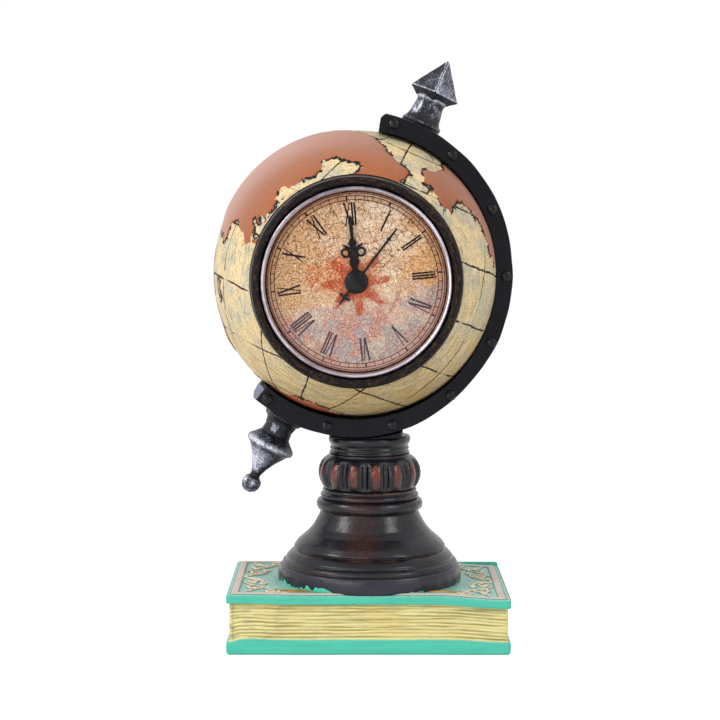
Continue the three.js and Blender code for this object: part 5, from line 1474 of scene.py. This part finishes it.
# black-brown bronze with worn streaks round the ring, and a painted highlight as a grey line on its
# rim at the upper left
def bronzePaint():
    paint = Finish("ringPaint", Specular_IOR_Level=0.1)
    flat = paint.moved(shared["dialMiddle"], stretch=(1, 0, 1))
    x, _, z = paint.parts(flat)
    reach = paint.vector("LENGTH", flat)
    around = paint.vector("NORMALIZE", flat).sized(10.0)
    streak = paint.noise(1, 4, 0.7, where=around.shifted(flat.sized(0.1)))
    outwards = paint.add("ShaderNodeCombineXYZ", {1: reach * 1.9})
    worn = paint.noise(1, 3, 0.6, where=around.shifted(outwards)) * 0.6
    worn = worn + paint.noise(0.9, 3, 0.65) * 0.4
    # painted highlight on the rim at the upper left
    rim = abs(reach - clock["rimLine"]).fade(0.0, 0.28, 0.6, 0) * (x - z).fade(5, -35)
    colour = paint.coats(clock["ringBlack"], (worn.fade(0.5, 0.6, 0, 0.85), clock["ringBrown"]),
                         (streak.fade(0.4, 0.62, 0, 0.6), clock["ringDark"]),
                         (rim, clock["ringRimHighlight"]))
    return paint.done(colour, worn.fade(0.3, 0.7, 0.32, 0.48), paint.bumps((worn, 0.22)))


# a painted highlight along the crown between a tarnished outer and a brownish inner flank, weaker
# at the upper left
def chromePlate():
    paint = Finish("chromePlate", Metallic=1.0)
    haze = paint.noise(3, 3)
    fine = paint.noise(0.7, 3)
    flat = paint.moved(shared["dialMiddle"], stretch=(1, 0, 1))
    x, _, z = paint.parts(flat)
    reach = paint.vector("LENGTH", flat)
    crownHighlight = abs(reach - clock["crownRadius"]).fade(0.1, 0.36, 1, 0)
    crownHighlight = crownHighlight * paint.noise(26, 2).fade(0.36, 0.52, 0.4, 1.0) * x.fade(-30, 12, 0.55, 1.0)
    colour = paint.coats(
        clock["plate"],
        (haze.fade(0.35, 0.65), clock["plateLight"]),
        (reach.fade(33.9, 33.6), clock["plateBrown"]),
        (fine.fade(0.55, 0.7, 0, 0.4), clock["plateSpeck"]),
        (crownHighlight * (z - x * 0.3).fade(18, 33, 1, 0.25), clock["plateHighlight"]),
    )
    return paint.done(colour, haze.fade(0.3, 0.7, 0.14, 0.22), paint.bumps((fine, 0.02)))


# A thin clear disc. Its index is kept low, since a higher one shifts what is seen through it and
# dulls the dial from the side.
def lensGlass():
    paint = Finish("lensGlass", Transmission_Weight=1.0, IOR=1.06, Alpha=0.12, Roughness=0.02)
    return paint.done(paint.blend(paint.noise(30, 2), clock["glass"], clock["glassGrey"]), 0.02)


# aged paper: cream at the top, ochre to the right, rose and grey below, and a worn red star of
# eight points round the middle, under a fine speckle, a net of thin red-brown cracks, a pinkish
# rim, a broken dark line at the edge and a brown tinge towards the lower right
def dialPrint():
    paint = Finish("dialPrint", Specular_IOR_Level=0.12)
    face = paint.moved(shared["dialMiddle"], (0, shared["insertTurn"], 0))
    x, _, z = paint.parts(face)
    reach = paint.vector("LENGTH", paint.vector("MULTIPLY", face, (1, 0, 1)))
    patch = paint.noise(6, 4, 0.6, where=face)
    other = paint.noise(5, 4, 0.6, where=face.shifted((31, 17, 5)))
    coarse = paint.noise(1.5, 3, 0.6, where=face)

    # what lies beyond a ragged line across the face
    def region(shareX, shareZ, start, end, strength):
        level = x * shareX + z * shareZ + patch.fade(0.3, 0.7, -5.0, 5.0)
        return (level + coarse.fade(0.3, 0.7, -1.5, 1.5)).fade(start, end, 0, strength)

    lower = paint.coats(clock["rose"], (other.fade(0.4, 0.56), clock["grey"]),
                        (patch.fade(0.48, 0.64, 0, 0.6), clock["paperLight"]),
                        (coarse.fade(0.35, 0.65, 0, 0.35), clock["paper"]))
    orange = (other.fade(0.3, 0.7, 6, 18) - (reach + x * 0.35)).fade(-1.0, 5.0, 0, 0.85)
    wave = abs(paint.sums("COSINE", paint.sums("ARCTAN2", x, z) * 4.0))
    points = paint.sums("POWER", wave, 3.0) * 6.5 + 6.5
    ragged = reach + coarse.fade(0.2, 0.8, -1.2, 1.2)
    star = (points - ragged).fade(-0.4, 0.8, 0, 0.9)
    star = star * paint.noise(3.2, 3, where=face).fade(0.35, 0.55, 0.45, 1.0)

    mottle = paint.noise(0.42, 2, 0.6, where=face)
    shade = mottle * 0.6 + paint.noise(0.95, 3, 0.7, where=face.shifted((7, 3, 1))) * 0.4
    low = region(0.1, -1.0, 4, 9, 1.0)
    calm = star.fade(0.3, 0.8, 1.0, 0.4)
    cracked = (z + other.fade(0.3, 0.7, -8, 8)).fade(-8, 4, 0.15, 0.9)
    crackle = paint.cells(2.4, "DISTANCE_TO_EDGE", where=paint.shaken(1.3, 1.5, face))
    crackLine = crackle.fade(0.02, 0.06, 1, 0) * coarse.fade(0.4, 0.52, 0.2, 1.0)
    edgeLine = abs(reach - clock["edgeLine"]).fade(0.14, 0.3, 1, 0) * (z - x).fade(-30, 12, 0.4, 1)
    colour = paint.coats(
        clock["paper"],
        (other.fade(0.4, 0.6), clock["paperLight"]),
        (region(-1.0, 0.3, 6, 22, 0.85), clock["tan"]),
        (region(1.0, -0.35, 12, 24, 0.85), clock["ochre"]),
        (region(0.1, -1.0, 4, 10, 0.9), lower),
        (orange * z.fade(-7.5, -5.5, 0.25, 1.0), clock["orange"]),
        (star, clock["redBrown"]),
        (abs(ragged - clock["haloRadius"]).fade(0.1, 0.5, 0.3, 0), clock["haloTone"]),
        (shade.fade(0.41, 0.485, 0.8, 0) * calm,
         paint.blend(low, clock["darkSpot"], clock["darkSpotLow"])),
        (shade.fade(0.53, 0.61, 0, 0.8) * calm,
         paint.blend(low, clock["lightSpot"], clock["lightSpotLow"])),
        (crackLine * cracked, clock["crackTone"]),
        (reach.fade(29.6, 30.1, 0, 0.5),
         paint.blend(z.fade(-12, 12), clock["rimLow"], clock["rimHigh"])),
        (edgeLine, clock["edgeTone"]),
        ((x * -0.3 + z).fade(12, -26, 0.02, 0.14), clock["ageTone"]),
    )
    return paint.done(colour, 0.55, paint.bumps((mottle, 0.02)))


# black ink, greyer low on the dial and worn through in places
def inkPaint():
    paint = Finish("dialInk", Specular_IOR_Level=0.12)
    height = paint.parts(paint.moved(shared["dialMiddle"]))[2]
    base = paint.blend(height.fade(-16, 2), clock["inkGrey"], clock["ink"])
    return paint.done(paint.blend(paint.noise(0.9, 3).fade(0.56, 0.7, 0, 0.7), base,
                                  clock["inkWorn"]), 0.6)


# Flat bars with four corners each, given as middle lines with half widths, raised off the dial.
def inkShell(starts, ends, halves):
    starts, ends = np.asarray(starts, float), np.asarray(ends, float)
    along = ends - starts
    along /= np.linalg.norm(along, axis=1)[:, None]
    aside = np.stack([-along[:, 1], along[:, 0]], 1) * np.asarray(halves, float)[:, None]
    flat = np.stack([starts - aside, starts + aside, ends + aside, ends - aside], 1)
    count = len(flat)
    layers = [np.concatenate([flat, np.full((count, 4, 1), level)], -1) for level in inkLevels]
    points = np.concatenate(layers, 1).reshape(-1, 3)
    first = np.arange(count)[:, None] * 8
    sides = [[0, 1, 2, 3], [7, 6, 5, 4], [0, 4, 5, 1], [1, 5, 6, 2], [2, 6, 7, 3], [3, 7, 4, 0]]
    quads = (first[:, :, None] + np.array(sides)[None]).reshape(-1, 4)
    return outward(onDial(points), [quads])


# the strokes of a roman numeral as [start x, start y, end x, end y, width] in millimetres, with a
# short serif across each end
def numeralStrokes(text):
    names = ("thickStroke", "thinStroke", "serif", "serifReach")
    thick, thin, serif, tick = (clock[k] for k in names)
    tall = clock["numeralHead"] - clock["numeralFoot"]
    x = -sum(clock["letterWidths"][letter] for letter in text) / 2
    strokes = []
    for letter in text:
        wide = clock["letterWidths"][letter]
        left, right, middle = x + 0.3, x + wide - 0.3, x + wide / 2
        bars = {
            "I": [(middle, tall, middle, 0, thick)],
            "V": [(left, tall, middle - 0.05, 0, thick), (right, tall, middle + 0.1, 0, thin)],
            "X": [(left, tall, right, 0, thick), (right, tall, left, 0, thin)],
        }[letter]
        for startX, startY, endX, endY, width in bars:
            reach = tick if width == thick else 0.7 * tick
            strokes.append((startX, startY, endX, endY, width))
            strokes.append((startX - reach, startY, startX + reach, startY, serif))
            if letter != "V":
                strokes.append((endX - reach, endY, endX + reach, endY, serif))
        x += wide
    return np.array(strokes)


# every hour's numeral, its foot towards the middle, each turned a little off its mark
def numeralShell():
    texts = ["I", "II", "III", "IV", "V", "VI", "VII", "VIII", "IX", "X", "XI", "XII"]
    starts, ends, halves = [], [], []
    for hour, text in enumerate(texts, 1):
        strokes = numeralStrokes(text)
        angle = math.radians(30 * hour - clock["printTurn"] - clock["numeralTurns"][hour - 1])
        across = np.array([math.cos(angle), -math.sin(angle)])
        outwards = np.array([math.sin(angle), math.cos(angle)])
        for column, kept in ((0, starts), (2, ends)):
            x = strokes[:, column, None]
            y = clock["numeralFoot"] + strokes[:, column + 1, None]
            kept.append(x * across + y * outwards)
        halves.append(strokes[:, 4] / 2)
    return inkShell(np.vstack(starts), np.vstack(ends), np.concatenate(halves))


# sixty strokes between two circles, every fifth one thick, and the circles
def trackShells():
    low, high = inkLevels
    angle = fullTurn(60) - math.radians(clock["printTurn"])
    way = np.stack([np.sin(angle), np.cos(angle)], 1)
    halves = np.where(np.arange(60) % 5 == 0, *clock["trackHalves"])
    inner, outer = clock["trackCircles"][:2]
    shells = [inkShell(way * inner, way * outer, halves)]
    half = clock["lineWidth"] / 2
    for radius in clock["trackCircles"]:
        near, far = radius - half, radius + half
        square = np.array([(near, low), (far, low), (far, high), (near, high)])
        shells.append(shellFrom(onDial(turnedLoops(square, 240)), "join"))
    return shells


inkLevels = (clock["dialFront"] + 0.005, clock["dialFront"] + 0.005 + clock["inkHeight"])
addPiece("clock_ring", dialTurned(clock["ringProfile"]), bronzePaint(),
         ["bezel_ring"])
addPiece("chrome_bezel", dialTurned(clock["bezelProfile"], 0.22, 0.08), chromePlate(),
         ["insert_bezel"], insertBody)
lensShell = shellFrom(onDial(turnedLoops(np.array(clock["lensProfile"]), 192)))
addPiece("lens_disc", lensShell, lensGlass(), ["insert_lens"], insertBody)
dialCorners = [
    (clock["dialBore"], clock["dialBack"]), (clock["dialRadius"], clock["dialBack"]),
    (clock["dialRadius"], clock["dialFront"]), (clock["dialBore"], clock["dialFront"]),
]
addPiece("dial_face", dialTurned(dialCorners, 0.6, 0.05), dialPrint(), ["dial_plate"],
         insertBody)
inkFinish = inkPaint()
addPiece("dial_numerals", numeralShell(), inkFinish, body=insertBody)
addPiece("dial_track", joined(trackShells()), inkFinish, body=insertBody)
print("clock face made")


# Hands

# Each hand's bars are [step, softness, drawn in, points of x, y, half width], and its rings are
# [x, y, outer, inner radius, drawn in]. Those in "sides" are there on both sides.
hands = {
    "thickness": 0.3,
    "edge": 0.08,
    "capHeight": 0.3,
    "black": (10, 10, 12),
    "blackWorn": (24, 24, 28),
    "hour": {
        "back": 39.38, "hub": 4.4, "bore": 1.9, "turn": 0.0, "body": "hour_pipe",
        "middle": [
            (0.2, 0.25, 0, [
                (0, 3.9, 1.3), (0, 5.2, 1.0), (0, 6.0, 1.25), (0, 7.0, 1.85), (0, 7.7, 1.85),
                (0, 8.5, 1.3), (0, 9.2, 1.1),
            ]),
            (0, 10.1, 1.65, 0.5, 0),
            (0.2, 0.2, 0, [
                (0, 11.4, 0.85), (0, 12.2, 0.75), (0, 13.0, 0.9), (0, 13.7, 1.4), (0, 14.5, 1.55),
                (0, 15.3, 1.1), (0, 16.0, 0.7), (0, 16.8, 0.5), (0, 17.5, 0.06),
            ]),
        ],
        "sides": [
            (2.8, 10.9, 1.85, 1.02, 0.02),
            (0.2, 0.2, 0.03, [
                (1.3, 12.4, 0.36), (1.9, 13.0, 0.4), (2.6, 13.1, 0.46), (3.2, 13.5, 0.36),
                (3.5, 14.1, 0.1),
            ]),
            (0.2, 0.1, 0.045, [(0.5, 12.3, 0.5), (1.5, 12.5, 0.46), (2.3, 12.4, 0.36)]),
            (0.2, 0.1, 0.045, [(0.7, 9.4, 0.5), (1.4, 9.4, 0.46), (2.1, 9.7, 0.36)]),
        ],
    },
    "minute": {
        "back": 39.98, "hub": 3.6, "bore": 1.5, "turn": 0.0, "body": "minute_arbor",
        "middle": [
            (0.3, 0.3, 0, [
                (0, 3.3, 0.6), (0, 8, 0.55), (0, 14, 0.52), (0, 17.4, 0.62), (0, 19.4, 0.72),
                (0, 21.0, 0.6), (0, 22.2, 0.9), (0, 23.0, 0.8), (0, 23.8, 0.4), (0, 24.5, 0.08),
            ]),
        ],
        "sides": [],
    },
    "second": {
        "back": 40.58, "hub": 3.1, "bore": 0.0, "turn": 42.7, "body": "second_arbor",
        "middle": [
            (0.3, 0.12, 0, [
                (0, 2.6, 0.46), (0, 10, 0.42), (0, 18, 0.38), (0, 18.9, 0.45), (0, 19.6, 0.85),
                (0, 20.3, 0.45), (0, 21.2, 0.38), (0, 24.5, 0.36),
            ]),
            (0.25, 0.12, 0, [
                (0, -2.6, 0.6), (0, -4.2, 0.42), (0, -5.4, 0.55), (0, -6.4, 0.8), (0, -7.2, 0.68),
                (0, -8.6, 0.4), (0, -10.3, 0.3),
            ]),
        ],
        "sides": [
            (0.2, 0.12, 0.04, [
                (0.2, -7.3, 0.5), (1.0, -7.2, 0.42), (1.8, -6.8, 0.5), (2.2, -6.4, 0.14),
            ]),
        ],
    },
}


def handPaint():
    paint = Finish("handPaint", Specular_IOR_Level=0.2)
    haze = paint.noise(2.5, 3)
    colour = paint.blend(haze.fade(0.3, 0.75, 0, 0.6), hands["black"], hands["blackWorn"])
    return paint.done(colour, haze.fade(0.3, 0.7, 0.26, 0.4), paint.bumps((haze, 0.03)))


# back and front of a hand's flat stock, drawn in by the given amount, and how far it is turned
def stock(kind, sink=0.0):
    back = hands[kind]["back"]
    return back + sink, back + hands["thickness"] - sink, shared["insertTurn"] - hands[kind]["turn"]


# A flat bar along a line drawn on the dial, as [x, y, half width]: a rectangle carried along it,
# a little narrower at the front so that the edges catch the light.
def barShell(kind, side, step, softness, sink, line):
    line = softLine(np.array(line, float) * [side, 1, 1], step, softness)
    way = np.gradient(line[:, :2], axis=0)
    way /= np.linalg.norm(way, axis=1)[:, None]
    aside = np.stack([-way[:, 1], way[:, 0]], 1)
    half = line[:, 2:]
    back, high, turn = stock(kind, sink)
    bevel = np.minimum(0.09, half * 0.5)
    shoulder = high - hands["edge"]
    corners = [(-half, back), (half, back), (half, shoulder), (half - bevel, high),
               (-half + bevel, high), (-half, shoulder)]
    loops = np.stack([
        np.concatenate([line[:, :2] + aside * reach, np.full((len(line), 1), level)], 1)
        for reach, level in corners
    ], 1)
    return shellFrom(onDial(loops, turn))


# a ring of a flat bar: its profile is turned about a point of the dial
def loopShell(kind, side, x, y, outer, inner, sink):
    back, high, turn = stock(kind, sink)
    edge = hands["edge"]
    profile = np.array([(inner, back), (outer, back), (outer, high - edge), (outer - edge, high),
                        (inner + edge, high), (inner, high - edge)])
    return shellFrom(onDial(turnedLoops(profile, 48, (side * x, y, 0)), turn), "join")


# the round middle of a hand, with a bore, or with a domed cap where it has none
def discShell(kind):
    radius, bore, edge = hands[kind]["hub"], hands[kind]["bore"], hands["edge"]
    back, high, _ = stock(kind)
    if bore:
        profile = [(bore, back), (radius, back), (radius, high - edge), (radius - 0.1, high),
                   (bore, high)]
        return shellFrom(onDial(turnedLoops(np.array(profile), 96)), "join")
    turn = np.linspace(0.1, math.pi / 2, 10)[::-1]
    dome = (edge + hands["capHeight"]) * (1 - np.sin(turn))
    cap = np.stack([radius * np.cos(math.pi / 2 - turn), high - edge + dome], 1)
    profile = np.vstack([[(0.2, back), (radius - 0.05, back), (radius, back + 0.06)], cap])
    return shellFrom(onDial(turnedLoops(profile, 96)))


def handShells(kind):
    shells = [discShell(kind)]
    for side, forms in ((1, "middle"), (-1, "sides"), (1, "sides")):
        for form in hands[kind][forms]:
            make = barShell if isinstance(form[-1], list) else loopShell
            shells.append(make(kind, side, *form))
    return shells


handFinish = handPaint()
for kind in ("hour", "minute", "second"):
    addPiece(f"{kind}_pointer", joined(handShells(kind)), handFinish,
             [f"{kind}_hand"], body=hands[kind]["body"])
print("hands made")


# Parts that stay as they are and get their finishes here

def plainFinish(name, colour, other, size, roughness, grainSize, depth, **plain):
    paint = Finish(name, **plain)
    fine = paint.noise(grainSize, 2)
    shade = paint.blend(paint.noise(size, 3).fade(0.3, 0.7), colour, other)
    return paint.done(shade, fine.fade(0.3, 0.7, *roughness), paint.bumps((fine, depth)))


# name, two tones, size of their patches, range of roughness, size and depth of the grain
inner = {
    "felt": plainFinish("felt", (44, 58, 48), (60, 76, 62), 5, (0.9, 1.0), 0.3, 0.25,
                        Specular_IOR_Level=0.1),
    "steel": plainFinish("steel", (186, 189, 193), (168, 170, 176), 4, (0.3, 0.42), 0.6, 0.02,
                         Metallic=1.0),
    "black_plastic": plainFinish("blackPlastic", (30, 30, 32), (40, 40, 43), 8, (0.45, 0.6), 0.35,
                                 0.05, Specular_IOR_Level=0.4),
    "white_plastic": plainFinish("whitePlastic", (232, 230, 222), (222, 219, 208), 6, (0.4, 0.52),
                                 0.5, 0.02),
    "rubber": plainFinish("rubber", (56, 56, 56), (68, 68, 66), 5, (0.8, 0.92), 0.4, 0.06,
                          Specular_IOR_Level=0.2),
    "brass": plainFinish("brass", (203, 168, 86), (186, 148, 70), 3, (0.28, 0.4), 0.5, 0.02,
                         Metallic=1.0),
    "copper": plainFinish("copperWinding", (186, 108, 60), (160, 84, 44), 1.2, (0.3, 0.45), 0.25,
                          0.1, Metallic=1.0),
    "circuit": plainFinish("circuitLacquer", (46, 106, 62), (36, 88, 52), 2.5, (0.45, 0.6), 0.6,
                           0.04),
}
replaced = {label for piece in bpy.context.scene.objects for label in piece.get("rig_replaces", [])}
for label, node in nodes.items():
    if label not in replaced:
        for place in node.material_slots:
            place.material = inner[place.material.name]
print("inner parts finished")


# Studio

studio = {
    "cameraPlace": (-0.00316, -0.740, 0.1667),
    "cameraTilt": 90 - 4.54,
    "lens": 95.77,
    "sensor": 36,
    "ambient": 0.45,
    "floorReach": 6,
    "floorTone": 0.7,
    "floorGlow": 0.72,
    "lampAim": (0, 0, 0.11),
    "lamps": [  # place, width, height, power
        ((-0.86, -0.38, 0.76), 0.26, 0.42, 4.6),
        ((0.76, -0.54, 0.78), 0.26, 0.42, 3.0),
        ((-0.62, -0.85, 0.26), 0.8, 0.5, 3.4),
        ((0.75, -0.8, 0.22), 0.5, 0.5, 1.0),
        ((0.1, 0.5, 1.1), 0.6, 0.4, 0.9),
    ],
}


# a rectangular lamp whose back axis points away from the aim
def addLamp(place, width, height, power):
    light = bpy.data.lights.new("softbox", "AREA")
    light.shape = "RECTANGLE"
    light.size, light.size_y, light.energy = width, height, power
    lamp = placed("softbox", light)
    x, y, z = np.array(studio["lampAim"]) - np.array(place)
    lamp.location = place
    lamp.rotation_euler = (math.atan2(math.hypot(x, y), -z), 0, math.atan2(x, -y) + math.pi)


# 1 for what the camera, a glossy surface or glass sees, 0 for what lights the object
def seenRays(tree):
    path = tree.nodes.new("ShaderNodeLightPath")
    total = path.outputs["Is Camera Ray"]
    for label in ("Is Glossy Ray", "Is Transmission Ray"):
        most = tree.nodes.new("ShaderNodeMath")
        most.operation = "MAXIMUM"
        tree.links.new(total, most.inputs[0])
        tree.links.new(path.outputs[label], most.inputs[1])
        total = most.outputs[0]
    return total


# white to the eye, and grey as far as it lights the object
def studioWorld():
    world = bpy.data.worlds.new("studio")
    world.use_nodes = True
    tree = world.node_tree
    mix = tree.nodes.new("ShaderNodeMix")
    mix.data_type = "RGBA"
    grey = studio["ambient"]
    mix.inputs[6].default_value = (grey, grey, grey, 1)
    mix.inputs[7].default_value = (1, 1, 1, 1)
    tree.links.new(seenRays(tree), mix.inputs[0])
    tree.links.new(mix.outputs[2], tree.nodes["Background"].inputs["Color"])
    bpy.context.scene.world = world


# matte paper under the clock, which glows as far as it is seen
def studioFloor():
    mesh = bpy.data.meshes.new("floor")
    reach, grey = studio["floorReach"], studio["floorTone"]
    corners = [(-reach, -reach, 0), (reach, -reach, 0), (reach, reach, 0), (-reach, reach, 0)]
    mesh.from_pydata(corners, [], [(0, 1, 2, 3)])
    floor = placed("floor", mesh)
    paint = Finish("floorPaper", Base_Color=(grey, grey, grey, 1), Roughness=1.0,
                   Specular_IOR_Level=0.0, Emission_Color=(1, 1, 1, 1))
    glow = Value(paint, seenRays(paint.tree)) * studio["floorGlow"]
    paint.feed(paint.shader.inputs["Emission Strength"], glow)
    mesh.materials.append(paint.material)


def studioCamera():
    data = bpy.data.cameras.new("camera")
    data.lens, data.sensor_width = studio["lens"], studio["sensor"]
    camera = placed("camera", data)
    camera.location = studio["cameraPlace"]
    camera.rotation_euler = (math.radians(studio["cameraTilt"]), 0, 0)
    bpy.context.scene.camera = camera


for lamp in studio["lamps"]:
    addLamp(*lamp)
studioWorld()
studioFloor()
studioCamera()
bpy.context.scene.view_settings.view_transform = "Standard"
print("studio made")
